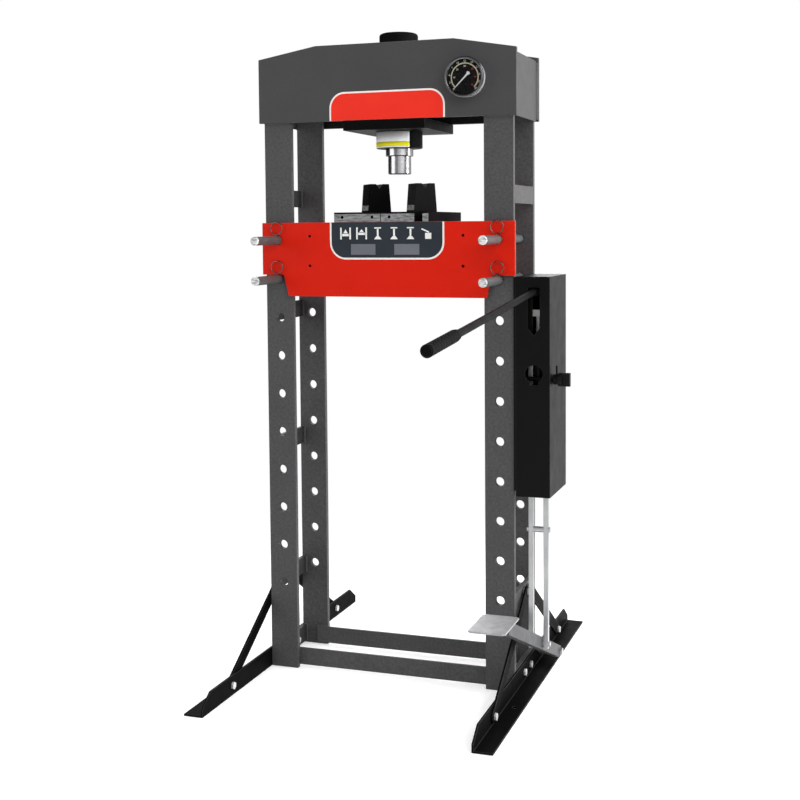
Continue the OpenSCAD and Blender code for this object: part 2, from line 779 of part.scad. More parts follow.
// Wire clip: a straight leg through the pin and a ring above it
module pin_clip(z) {
    rod_z(wire_d, z - clip_leg, z + clip_leg + wire_d / 2, post_x, clip_y);
    translate([post_x, clip_y, z + clip_leg + wire_d / 2 + ring_d / 2]) rotate([90, 0, 0])
        rotate_extrude() translate([ring_d / 2, 0]) circle(d = wire_d + hold_gap);
}
module pin_clips() {
    color("gainsboro") for (s = [-1, 1], z = [pin_low_z, pin_up_z]) to_side(s) pin_clip(z);
}

// Press plate across both bed plates, tapped in its front edge at the given distances
module press_plate(x0, taps) {
    difference() {
        slab([x0, -bed_out_y, bed_z1], [x0 + plate_w, bed_out_y + plate_back, plate_z1]);
        for (t = taps) rod_y(tap_d, -bed_out_y - over, tap_deep - bed_out_y, x0 + t, bed_z1 + plate_t / 2);
    }
}
module press_plate_left() { color([0.45, 0.45, 0.46]) press_plate(plate_x0, [tap_in, plate_w - tap_in]); }

// The right plate has a round-ended notch in its front edge
module press_plate_right() {
    x = plate_b_x0 + notch_in;
    y = notch_d - notch_w / 2 - bed_out_y;
    color([0.35, 0.35, 0.36]) difference() {
        press_plate(plate_b_x0, [tap_in]);
        slab([x - notch_w / 2, -bed_out_y - over, bed_z1 - over], [x + notch_w / 2, y, plate_z1 + over]);
        rod_z(notch_w, bed_z1 - over, plate_z1 + over, x, y);
    }
}

// Tapered V-block standing on the press plates
module v_block(x) {
    a = v_w / 2;
    b = v_top_w / 2;
    n = v_notch_w / 2;
    color([0.1, 0.1, 0.1]) translate([x, v_y, plate_z1]) rotate([0, 0, v_turn])
        along_y(-v_len / 2, v_len / 2)
            polygon([[-a, 0], [a, 0], [b, v_h], [n, v_h], [0, v_h - n * 3 / 2], [-n, v_h], [-b, v_h]]);
}
module v_block_left() { v_block(v_mid_x - v_gap / 2); }
module v_block_right() { v_block(v_mid_x + v_gap / 2); }

// Plate on the posts and ties that carries the pump
module pump_bracket() {
    color([0.12, 0.12, 0.12])
        slab([post_out_x, cover_y0 + cover_t, cover_z0 + cover_flange],
             [bracket_x1, cover_y1 - cover_t, cover_z1 - cover_t]);
}

// Folded sheet cover, open below and toward the frame, with inner flanges on the bracket
module pump_cover() {
    slot_z1 = cover_z1 - slot_drop;
    slot_z0 = slot_z1 - slot_len;
    port_z = cover_z1 - port_drop;
    color([0.1, 0.1, 0.1]) difference() {
        union() {
            difference() {
                slab([bracket_x1, cover_y0, cover_z0], [cover_x1, cover_y1, cover_z1]);
                slab([bracket_x1 - over, cover_y0 + cover_t, cover_z0 - over],
                     [cover_x1 - cover_t, cover_y1 - cover_t, cover_z1 - cover_t]);
            }
            slab([bracket_x1, cover_y0, cover_z0], [bracket_x1 + cover_t, cover_y0 + cover_flange, cover_z1]);
            slab([bracket_x1, cover_y1 - cover_flange, cover_z0], [bracket_x1 + cover_t, cover_y1, cover_z1]);
        }
        along_y(cover_y0 - over, cover_y0 + cover_t + over)
            polygon([[work_x - slot_w / 2, slot_z1], [work_x - slot_w / 2, slot_z0 + slot_point],
                     [work_x, slot_z0], [work_x + slot_w / 2, slot_z0 + slot_point],
                     [work_x + slot_w / 2, slot_z1]]);
        rod_y(port_w, cover_y0 - over, cover_y0 + cover_t + over, work_x, port_z);
        slab([work_x - port_w / 4, cover_y0 - over, port_z - port_leg],
             [work_x + port_w / 4, cover_y0 + cover_t + over, port_z]);
        rod_x(stem_d + 4 * edge, cover_x1 - cover_t - over, cover_x1 + over, knob_y, knob_z);
    }
}

// Pump casting on the bracket, with a plunger boss between the links, a valve lug and a reservoir below
module pump_body() {
    color([0.12, 0.12, 0.12]) difference() {
        union() {
            slab([bracket_x1, pump_y0, pump_z0], [bracket_x1 + pump_w, pump_y1, pump_z1]);
            slab([work_x - boss_d / 2, link_y, plunger_z0 - plunger_d],
                 [work_x + boss_d / 2, pump_y0 + over, pump_z1]);
            rod_z(boss_d, plunger_z0 - plunger_d, pump_z1, work_x, link_y);
            slab([bracket_x1, knob_y - valve_half, knob_z - valve_half],
                 [valve_x1, pump_y0 + over, knob_z + valve_half]);
            rod_z(tank_d, pump_z0 - tank_h, pump_z0, bracket_x1 + pump_w / 2, (pump_y0 + pump_y1) / 2);
        }
        rod_z(plunger_d + 2 * run_gap, plunger_z0 - link_stroke - over, pump_z1 + over, work_x, link_y);
        rod_x(stem_d + 2 * run_gap, valve_x1 - stem_depth, valve_x1 + over, knob_y, knob_z);
    }
}

// Plunger with the crosshead that the links carry
module pump_plunger() {
    half = link_inner_w / 2;
    color("silver") {
        rod_z(plunger_d, plunger_z0, cross_z1 - cross_h / 2, work_x, link_y);
        slab([work_x - half, link_y - link_side / 2, cross_z1 - cross_h],
             [work_x + half, link_y + link_side / 2, cross_z1]);
    }
}

// Pivot of the lever: a sleeve on the bracket, the pin and its end collar
module lever_pivot() {
    x0 = work_x - rocker_w / 2 - side_gap;
    x1 = work_x + rocker_w / 2 + side_gap;
    color("silver") {
        rod_x(2 * pivot_d, bracket_x1, x0, pivot_y, pivot_z);
        rod_x(pivot_d, x0, x1, pivot_y, pivot_z);
        rod_x(2 * pivot_d, x1, x1 + pivot_d / 2, pivot_y, pivot_z);
    }
}

// Pieces along the lever, whose own frame has the pivot at the origin and the lever along -Y
module lever_frame() {
    translate([work_x, pivot_y, pivot_z]) rotate([lever_droop, 0, 0]) children();
}

// Rocker: a flat lug plate with the hub and a short slot for the link pin, and the lever's socket at its front
module lever_rocker() {
    lug_d = link_pin_d + 2 * slot_gap + 4 * edge;
    slot_d = link_pin_d + 2 * slot_gap;
    lug_up = rocker_rise + lever_droop;
    web_h = socket_d / 2;
    color("silver") lever_frame() difference() {
        union() {
            along_x(-rocker_w / 2, rocker_w / 2) difference() {
                union() {
                    circle(d = rocker_hub_d);
                    translate([-socket_back - edge, -web_h / 2]) square([socket_back + edge, web_h]);
                    rotate(-lug_up) {
                        translate([-rocker_r, -lug_d / 2]) square([rocker_r, lug_d]);
                        translate([-rocker_r, 0]) circle(d = lug_d);
                    }
                }
                circle(d = pivot_d + 2 * run_gap);
                rotate(-lug_up) {
                    for (r = [rocker_r, rocker_r - link_sag]) translate([-r, 0]) circle(d = slot_d);
                    translate([-rocker_r, -slot_d / 2]) square([link_sag, slot_d]);
                }
            }
            rod_y(socket_d, -socket_back - socket_len, -socket_back, 0, 0);
        }
        rod_y(lever_d + 2 * run_gap, -socket_back - socket_len - over, -socket_back - 2 * edge, 0, 0);
    }
}

// Lever tube from its socket to the tip
module hand_lever() {
    color("silver") lever_frame() rod_y(lever_d, -lever_len + edge, -socket_back - 2 * edge, 0, 0);
}

// Ribbed sleeve over the end of the lever
module lever_grip() {
    r = grip_d / 2;
    rib_n = 12;
    rib = grip_len / rib_n;
    bore = lever_d / 2 + run_gap;
    color([0.08, 0.08, 0.08]) lever_frame() translate([0, -lever_len, 0]) rotate([-90, 0, 0]) rotate_extrude()
        polygon(concat([[0, 0], [r - 2 * edge, 0], [r, 2 * edge]],
                       [for (i = [1 : rib_n - 1], p = [-1, 1])
                        [r - (p > 0 ? edge / 4 : 0), i * rib + p * rib / 4]],
                       [[r - edge, grip_len], [bore, grip_len], [bore, edge], [0, edge]]));
}

// Release valve: stem, nut, cross pin and winged knob
module release_knob() {
    x1 = knob_x0 + knob_len;
    wing = knob_d / 5;
    color([0.1, 0.1, 0.1]) {
        rod_x(stem_d, valve_x1 - stem_depth + side_gap, knob_x0 + edge, knob_y, knob_z);
        rod_x(knob_d * 3 / 4, cover_x1 + edge, knob_x0 + edge, knob_y, knob_z);
        rod_z(stem_d / 2, knob_z, knob_z + knob_d, knob_x0 - stem_d / 2, knob_y);
        difference() {
            rod_x(knob_d, knob_x0, x1, knob_y, knob_z);
            for (f = [-1, 1])
                slab([knob_x0 + knob_len / 3, knob_y + (f > 0 ? wing : -knob_d), knob_z - knob_d],
                     [x1 + over, knob_y + (f > 0 ? knob_d : -wing), knob_z + knob_d]);
        }
    }
}

// Square pull link with holes for its pins and the spacer bolt
module pull_link(x) {
    half = link_side / 2;
    color("silver") difference() {
        slab([x - half, link_y - half, link_low_z - link_side],
             [x + half, link_y + half, link_top_z + link_side * 3 / 4]);
        for (z = [link_low_z, spacer_z, link_top_z])
            rod_x(link_pin_d + 2 * run_gap, x - link_side, x + link_side, link_y, z);
    }
}
module link_left() { pull_link(link_in_x); }
module link_right() { pull_link(link_out_x); }

// Pin through both links, with a hex head at each end
module link_pin(z) {
    x0 = link_in_x - link_side / 2;
    x1 = link_out_x + link_side / 2;
    head = link_side / 3;
    rod_x(link_pin_d, x0, x1, link_y, z);
    hex_x(link_side + edge, x0 - head, x0, link_y, z);
    hex_x(link_side + edge, x1, x1 + head, link_y, z);
}
module link_top_pin() { color("silver") link_pin(link_top_z); }
module link_bottom_pin() { color("silver") link_pin(link_low_z); }
module link_spacer_bolt() {
    color("silver") {
        link_pin(spacer_z);
        rod_x(spacer_d, link_in_x + link_side / 2, link_out_x - link_side / 2, link_y, spacer_z);
    }
}

// Pedal arm from its pivot up to the plate, cut level under the plate
module pedal_arm() {
    slot_d = link_pin_d + 2 * slot_gap;
    color([0.75, 0.75, 0.76]) difference() {
        translate([work_x, pedal_y, pedal_z]) rotate([-pedal_rise, 0, 0]) difference() {
            union() {
                slab([-arm_w / 2, -pedal_len, -arm_h / 2], [arm_w / 2, 0, arm_h / 2]);
                rod_x(arm_h, -arm_w / 2, arm_w / 2, 0, 0);
            }
            rod_x(pedal_bolt_d + 2 * run_gap, -arm_w, arm_w, 0, 0);
            for (r = [pedal_pin_r, pedal_pin_r2]) rod_x(slot_d, -arm_w, arm_w, -r, 0);
            slab([-arm_w, -pedal_pin_r, -slot_d / 2], [arm_w, -pedal_pin_r2, slot_d / 2]);
        }
        slab([work_x - arm_w, pedal_y0, pedal_seat_z],
             [work_x + arm_w, pedal_y0 + pedal_d, pedal_seat_z + 2 * arm_h]);
    }
}

// Foot plate with cut corners, on the level seat of the arm
module pedal_plate() {
    x0 = pedal_x1 - pedal_w;
    x1 = pedal_x1;
    y1 = pedal_y0 + pedal_d;
    c = pedal_cut;
    color([0.78, 0.78, 0.79]) translate([0, 0, pedal_seat_z]) linear_extrude(pedal_t)
        polygon([[x0 + c, pedal_y0], [x1 - c, pedal_y0], [x1, pedal_y0 + c], [x1, y1 - c], [x1 - c, y1],
                 [x0 + c, y1], [x0, y1 - c], [x0, pedal_y0 + c]]);
}

// Pivot bolt of the pedal: bolt through the foot, spacer sleeve and head
module pedal_pivot() {
    x0 = work_x - arm_w / 2 - side_gap;
    x1 = work_x + arm_w / 2 + side_gap;
    color("silver") {
        hex_x(pedal_bolt_d * 3 / 2, post_out_x - bolt_head_h, post_out_x, pedal_y, pedal_z);
        rod_x(pedal_bolt_d, post_out_x, x1, pedal_y, pedal_z);
        rod_x(pedal_bolt_d * 3 / 2, foot_x1, x0, pedal_y, pedal_z);
        hex_x(pedal_bolt_d * 3 / 2, x1, x1 + bolt_head_h, pedal_y, pedal_z);
    }
}

post_front_left();
post_front_right();
post_rear_left();
post_rear_right();
ties_left();
ties_right();
cross_bar_front();
cross_bar_rear();
foot_left();
foot_right();
brace_front_left();
brace_rear_left();
brace_front_right();
brace_rear_right();
frame_bolts();
beam_front_plate();
beam_rear_plate();
beam_end_left();
beam_end_right();
cylinder_mount_plate();
cylinder_barrel();
cylinder_cap();
ram();
ram_nose();
gauge_case();
gauge_dial();
gauge_needle();
gauge_glass();
gauge_bezel();
bed_front_plate();
bed_rear_plate();
bed_web_left();
bed_web_right();
pin_upper_left();
pin_upper_right();
pin_lower_left();
pin_lower_right();
pin_clips();
press_plate_left();
press_plate_right();
v_block_left();
v_block_right();
pump_bracket();
pump_cover();
pump_body();
pump_plunger();
lever_pivot();
lever_rocker();
hand_lever();
lever_grip();
release_knob();
link_left();
link_right();
link_top_pin();
link_spacer_bolt();
link_bottom_pin();
pedal_arm();
pedal_plate();
pedal_pivot();
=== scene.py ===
"""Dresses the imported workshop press: paint, plating, welds, dial, panels, studio and camera."""
import logging
import math
from dataclasses import dataclass, replace
from enum import Enum
from typing import Iterable, Sequence

import bmesh
import bpy
from mathutils import Matrix, Vector


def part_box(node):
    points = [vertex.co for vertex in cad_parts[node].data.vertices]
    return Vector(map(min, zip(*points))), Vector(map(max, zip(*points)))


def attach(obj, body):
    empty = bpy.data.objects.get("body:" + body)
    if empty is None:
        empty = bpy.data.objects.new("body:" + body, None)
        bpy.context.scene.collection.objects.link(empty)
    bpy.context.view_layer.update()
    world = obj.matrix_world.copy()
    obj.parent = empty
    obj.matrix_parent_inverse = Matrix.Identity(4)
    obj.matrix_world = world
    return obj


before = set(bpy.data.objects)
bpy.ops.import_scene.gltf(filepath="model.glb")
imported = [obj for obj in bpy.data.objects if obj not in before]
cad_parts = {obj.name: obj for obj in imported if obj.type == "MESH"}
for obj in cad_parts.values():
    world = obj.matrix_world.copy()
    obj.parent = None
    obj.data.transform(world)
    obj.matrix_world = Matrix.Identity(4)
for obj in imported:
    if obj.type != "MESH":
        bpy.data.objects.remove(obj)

LOG = logging.getLogger("press")
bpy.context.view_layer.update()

Colour = tuple[float, float, float]
Point = tuple[float, float, float]
Flat = tuple[float, float]
Socket = bpy.types.NodeSocket
Feed = Socket | float | Sequence[float]

FLOAT, COLOUR, VECTOR = "NodeSocketFloat", "NodeSocketColor", "NodeSocketVector"
GRAIN_DEPTH = 0.0006
SMUDGE_SCALE = 24.0
LENS_ALPHA = 0.1
SAME_POINT = 0.00002
SHARP_EDGE = math.radians(38.0)
QUARTER_TURN = Matrix.Rotation(math.pi / 2.0, 4, "X")


def srgb(red: int, green: int, blue: int) -> Colour:
    """Turns a screen colour into the linear colour that shaders use.

    Args:
        red: Red from 0 to 255.
        green: Green from 0 to 255.
        blue: Blue from 0 to 255.

    Returns:
        The linear colour, each part from 0 to 1.
    """
    def lin(part: int) -> float:
        """One channel of the curve."""
        c = part / 255.0
        return c / 12.92 if c <= 0.04045 else ((c + 0.055) / 1.055) ** 2.4
    return lin(red), lin(green), lin(blue)


class Surface(Enum):
    """The kinds of surface that the press has."""

    PAINT = "paint"
    METAL = "metal"
    PLASTIC = "plastic"
    PRINT = "print"
    GLASS = "glass"


class Wiring:
    """Adds nodes to one shader tree and joins them."""

    def __init__(self, tree: bpy.types.NodeTree) -> None:
        """Takes the tree to work in."""
        self.tree = tree

    def feed(self, node: bpy.types.Node, feeds: dict[str | int, Feed]) -> None:
        """Fills inputs of a node.

        Args:
            node: The node.
            feeds: A socket to link or a value to set, for each input by its name or number.
        """
        for label, feed in feeds.items():
            if isinstance(feed, Socket):
                self.tree.links.new(feed, node.inputs[label])
            else:
                node.inputs[label].default_value = feed

    def node(self, kind: str, feeds: dict[str | int, Feed], **choices: object) -> bpy.types.Node:
        """Adds a node.

        Args:
            kind: Type of the node.
            feeds: What goes into its inputs.
            choices: The node's own settings.

        Returns:
            The new node.
        """
        node = self.tree.nodes.new(kind)
        for label, choice in choices.items():
            setattr(node, label, choice)
        self.feed(node, feeds)
        return node

    def group(self, tree: bpy.types.NodeTree, **feeds: Feed) -> Socket:
        """Places a shared group and gives its result."""
        return self.node("ShaderNodeGroup", feeds, node_tree=tree).outputs[0]

    def math(self, operation: str, *values: Feed) -> Socket:
        """Works out a number from others."""
        return self.node("ShaderNodeMath", dict(enumerate(values)), operation=operation).outputs[0]

    def product(self, first: Feed, second: Feed) -> Socket:
        """Multiplies two vectors part by part."""
        node = self.node("ShaderNodeVectorMath", {0: first, 1: second}, operation="MULTIPLY")
        return node.outputs["Vector"]

    def blend(self, share: Feed, first: Feed, second: Feed) -> Socket:
        """Mixes two colours by a share from 0 to 1."""
        feeds = {"Factor": share, "A": first, "B": second}
        return self.node("ShaderNodeMix", feeds, data_type="RGBA").outputs["Result"]

    def span(self, value: Feed, low: Feed, high: Feed, to_low: Feed = 0.0, to_high: Feed = 1.0,
             shape: str = "LINEAR") -> Socket:
        """Maps one range of values onto another.

        Args:
            value: The value to map.
            low: Lower end of its range.
            high: Upper end of its range.
            to_low: What the lower end becomes.
            to_high: What the upper end becomes.
            shape: Curve between the ends.

        Returns:
            The mapped value.
        """
        feeds = {"Value": value, "From Min": low, "From Max": high, "To Min": to_low, "To Max": to_high}
        return self.node("ShaderNodeMapRange", feeds, interpolation_type=shape).outputs["Result"]

    def place(self, kind: str = "Object") -> Socket:
        """Coordinates on the object itself."""
        return self.node("ShaderNodeTexCoord", {}).outputs[kind]

    def height(self) -> Socket:
        """Height on the object itself."""
        return self.node("ShaderNodeSeparateXYZ", {0: self.place()}).outputs["Z"]

    def noise(self, where: Socket, scale: Feed, detail: float, rough: float = 0.5) -> Socket:
        """Adds cloudy noise.

        Args:
            where: Its coordinates.
            scale: Its fineness.
            detail: Levels of detail.
            rough: Roughness of the finer levels.

        Returns:
            The noise, about 0.5 on the mean.
        """
        feeds = {"Vector": where, "Scale": scale, "Detail": detail, "Roughness": rough}
        return self.node("ShaderNodeTexNoise", feeds).outputs["Fac"]


class Effects:
    """Shader node groups that several finishes share, each built once."""

    drift: Flat = (0.32, 0.68)
    chip_start: float = 0.74
    chip_fade: float = 0.06
    mean_height: float = 0.45
    saw_scale: Point = (60.0, 1.0, 260.0)
    saw_span: Point = (0.3, 0.7, 0.2)
    upper_shade_fade: float = 0.03
    patch_scale: float = 160.0
    patch_span: Flat = (0.3, 0.6)
    patch_facing: float = 0.9

    def __init__(self) -> None:
        """Builds every group."""
        self.mottle = self._mottle()
        self.grain = self._grain()
        self.smudge = self._smudge()
        self.chips = self._chips()
        self.fleck = self._fleck()
        self.front_cut = self._front_cut()
        self.upper_shade = self._upper_shade()
        self.ground_and_shade_patch = self._ground_and_shade_patch()

    @staticmethod
    def _open(name: str, **inputs: str) -> tuple[Wiring, bpy.types.NodeOutputs]:
        """Starts a shader group with named inputs.

        Args:
            name: Name of the group.
            inputs: Type of each input.

        Returns:
            The group's wiring, and the sockets that bring its inputs in.
        """
        tree = bpy.data.node_groups.new(name, "ShaderNodeTree")
        for label, kind in inputs.items():
            tree.interface.new_socket(label, in_out="INPUT", socket_type=kind)
        return Wiring(tree), tree.nodes.new("NodeGroupInput").outputs

    @staticmethod
    def _close(wiring: Wiring, label: str, kind: str, result: Socket) -> bpy.types.NodeTree:
        """Ends a shader group with its output.

        Args:
            wiring: The group's wiring.
            label: Name of the output.
            kind: Type of the output.
            result: What the group gives.

        Returns:
            The finished group.
        """
        wiring.tree.interface.new_socket(label, in_out="OUTPUT", socket_type=kind)
        wiring.node("NodeGroupOutput", {label: result})
        return wiring.tree

    def _mottle(self) -> bpy.types.NodeTree:
        """Colour that drifts between two tones over broad and fine patches.

        Returns:
            The group.
        """
        wiring, ends = self._open("Mottle", Base=COLOUR, Shade=COLOUR, Scale=FLOAT, Amount=FLOAT)
        drift = wiring.span(wiring.noise(wiring.place(), ends["Scale"], 6.0, 0.62), *self.drift)
        share = wiring.math("MULTIPLY", drift, ends["Amount"])
        return self._close(wiring, "Color", COLOUR, wiring.blend(share, ends["Base"], ends["Shade"]))

    def _grain(self) -> bpy.types.NodeTree:
        """Height of a pebbled or drawn surface, stretched along an axis where asked.

        Returns:
            The group.
        """
        wiring, ends = self._open("Grain", Scale=FLOAT, Stretch=VECTOR, Pebble=FLOAT)
        where = wiring.product(wiring.place(), ends["Stretch"])
        cells = wiring.node("ShaderNodeTexVoronoi", {"Vector": where, "Scale": ends["Scale"]},
                            feature="SMOOTH_F1")
        noise = wiring.noise(where, ends["Scale"], 3.0)
        feeds = {"Factor": ends["Pebble"], "A": noise, "B": cells.outputs["Distance"]}
        return self._close(wiring, "Height", FLOAT, wiring.node("ShaderNodeMix", feeds).outputs["Result"])

    def _smudge(self) -> bpy.types.NodeTree:
        """Roughness that rises and falls in handled and wiped patches.

        Returns:
            The group.
        """
        wiring, ends = self._open("Smudge", Level=FLOAT, Spread=FLOAT, Scale=FLOAT)
        middle = wiring.math("SUBTRACT", wiring.noise(wiring.place(), ends["Scale"], 5.0, 0.6), 0.5)
        swing = wiring.math("MULTIPLY_ADD", middle, ends["Spread"], ends["Level"])
        return self._close(wiring, "Roughness", FLOAT, swing)

    def _chips(self) -> bpy.types.NodeTree:
        """Mask of small rubbed spots, for edges and handled faces.

        Returns:
            The group.
        """
        wiring, ends = self._open("Chips", Scale=FLOAT, Cover=FLOAT)
        noise = wiring.noise(wiring.place(), ends["Scale"], 8.0, 0.72)
        low = wiring.math("SUBTRACT", self.chip_start, ends["Cover"])
        high = wiring.math("ADD", low, self.chip_fade)
        mask = wiring.span(noise, low, high, shape="SMOOTHSTEP")
        return self._close(wiring, "Mask", FLOAT, mask)

    def _fleck(self) -> bpy.types.NodeTree:
        """Colour that lightens on the tops of the grain and darkens in its pits.

        Returns:
            The group.
        """
        wiring, ends = self._open("Fleck", Color=COLOUR, Height=FLOAT, Amount=FLOAT)
        middle = wiring.math("SUBTRACT", ends["Height"], self.mean_height)
        swing = wiring.math("MULTIPLY_ADD", middle, ends["Amount"], 1.0)
        tone = wiring.node("ShaderNodeVectorMath", {0: ends["Color"], "Scale": swing}, operation="SCALE")
        return self._close(wiring, "Color", COLOUR, tone.outputs["Vector"])

    def _front_cut(self) -> bpy.types.NodeTree:
        """Bright sawn metal on the flat front of a piece, below its rim, with streaks of the saw.

        Returns:
            The group.
        """
        wiring, ends = self._open("Front cut", Color=COLOUR, Cut=COLOUR, Front=FLOAT, Rim=FLOAT)
        where = wiring.place()
        part = wiring.node("ShaderNodeSeparateXYZ", {0: where}).outputs
        near = wiring.math("LESS_THAN", part["Y"], ends["Front"])
        below = wiring.math("LESS_THAN", part["Z"], ends["Rim"])
        streak = wiring.noise(wiring.product(where, self.saw_scale), 1.0, 5.0)
        front = wiring.math("MULTIPLY", near, below)
        mask = wiring.math("MULTIPLY", front, wiring.span(streak, *self.saw_span))
        return self._close(wiring, "Color", COLOUR, wiring.blend(mask, ends["Color"], ends["Cut"]))

    def _upper_shade(self) -> bpy.types.NodeTree:
        """Painted shade: colour that darkens above a height, where a rod runs up into the dark of the pump
        housing.

        Returns:
            The group.
        """
        wiring, ends = self._open("Upper painted shade", Color=COLOUR, Dark=COLOUR, Height=FLOAT)
        over = wiring.math("SUBTRACT", wiring.height(), ends["Height"])
        share = wiring.span(over, 0.0, self.upper_shade_fade, shape="SMOOTHSTEP")
        return self._close(wiring, "Color", COLOUR, wiring.blend(share, ends["Color"], ends["Dark"]))

    def _ground_and_shade_patch(self) -> bpy.types.NodeTree:
        """Strip of another colour between two heights on the faces that look one way, worn or whole; on the
        V-block a ground spot, on the bed's end a pinkish grey strip, on the beam's rear plate painted
        shade.

        Returns:
            The group.
        """
        wiring, ends = self._open("Ground and shade patch", Color=COLOUR, Bright=COLOUR, Side=VECTOR, Low=FLOAT,
                                  High=FLOAT, Floor=FLOAT)
        facing = wiring.node("ShaderNodeVectorMath", {0: wiring.place("Normal"), 1: ends["Side"]},
                             operation="DOT_PRODUCT").outputs["Value"]
        height = wiring.height()
        noise = wiring.noise(wiring.place(), self.patch_scale, 4.0, 0.6)
        share = wiring.span(noise, *self.patch_span, ends["Floor"])
        for test, value, limit in (("GREATER_THAN", facing, self.patch_facing),
                                   ("GREATER_THAN", height, ends["Low"]),
                                   ("LESS_THAN", height, ends["High"])):
            share = wiring.math("MULTIPLY", share, wiring.math(test, value, limit))
        return self._close(wiring, "Color", COLOUR, wiring.blend(share, ends["Color"], ends["Bright"]))


@dataclass(frozen=True)
class Finish:
    """One finish of the press, and how its surface varies."""

    name: str
    surface: Surface
    base: Colour
    shade: Colour
    roughness: float
    metallic: float = 0.0
    spread: float = 0.25
    mottle_scale: float = 14.0
    mottle: float = 0.6
    grain_scale: float = 700.0
    grain_stretch: Point = (1.0, 1.0, 1.0)
    pebble: float = 0.0
    bump: float = 0.12
    wear_and_shade_colour: Colour = (0.45, 0.45, 0.46)
    chip_scale: float = 60.0
    chip_cover: float = 0.0
    specular: float = 0.25
    speckle: float = 0.0
    cut_colour: Colour | None = None
    cut_front: float = 0.0
    cut_rim: float = 9.0
    # Height above which the colour darkens into painted shade, zero for none.
    painted_shade_from: float = 0.0
    patch_side: Point | None = None
    patch_heights: Flat = (0.0, 0.0)
    patch_floor: float = 0.0
    edge_tint: float = 1.0

    def build(self, effects: Effects) -> bpy.types.Material:
        """Makes the material with its node groups.

        Args:
            effects: The shared node groups.

        Returns:
            The finished material.
        """
        material = bpy.data.materials.new(self.name)
        material.use_nodes = True
        wiring = Wiring(material.node_tree)
        shader = material.node_tree.nodes["Principled BSDF"]
        smudge = wiring.group(effects.smudge, Level=self.roughness, Spread=self.spread, Scale=SMUDGE_SCALE)
        wiring.feed(shader, {
            "Metallic": self.metallic, "Specular IOR Level": self.specular, "Roughness": smudge,
            "Specular Tint": (self.edge_tint, self.edge_tint, self.edge_tint, 1.0)})
        if self.surface is Surface.GLASS:
            wiring.feed(shader, {"Base Color": (*self.base, 1.0), "Alpha": LENS_ALPHA})
            material.surface_render_method = "BLENDED"
            return material
        grain = wiring.group(effects.grain, Scale=self.grain_scale, Stretch=self.grain_stretch,
                             Pebble=self.pebble)
        bump = wiring.node("ShaderNodeBump",
                           {"Strength": self.bump, "Distance": GRAIN_DEPTH, "Height": grain})
        colour = self._colour(wiring, effects, grain)
        wiring.feed(shader, {"Base Color": colour, "Normal": bump.outputs["Normal"]})
        return material

    def _colour(self, wiring: Wiring, effects: Effects, grain: Socket) -> Socket:
        """Builds the colour up from its mottled base to its worn and cut places, its strips of another
        colour (painted shade on some finishes) and its painted shade above a height.

        Args:
            wiring: The material's wiring.
            effects: The shared node groups.
            grain: Height of the grain.

        Returns:
            The colour.
        """
        # The wear colour also serves as the dark of painted shade, in strips and above a height.
        wear_and_shade = (*self.wear_and_shade_colour, 1.0)
        colour = wiring.group(effects.mottle, Base=(*self.base, 1.0), Shade=(*self.shade, 1.0),
                              Scale=self.mottle_scale, Amount=self.mottle)
        if self.chip_cover > 0.0:
            chips = wiring.group(effects.chips, Scale=self.chip_scale, Cover=self.chip_cover)
            colour = wiring.blend(chips, colour, wear_and_shade)
        if self.speckle > 0.0:
            colour = wiring.group(effects.fleck, Color=colour, Height=grain, Amount=self.speckle)
        if self.cut_colour is not None:
            colour = wiring.group(effects.front_cut, Color=colour, Cut=(*self.cut_colour, 1.0),
                                  Front=self.cut_front, Rim=self.cut_rim)
        # Painted shade above a height.
        if self.painted_shade_from > 0.0:
            colour = wiring.group(effects.upper_shade, Color=colour, Dark=wear_and_shade, Height=self.painted_shade_from)
        if self.patch_side is not None:
            low, high = self.patch_heights
            colour = wiring.group(effects.ground_and_shade_patch, Color=colour, Bright=wear_and_shade, Side=self.patch_side,
                                  Low=low, High=high, Floor=self.patch_floor)
        return colour


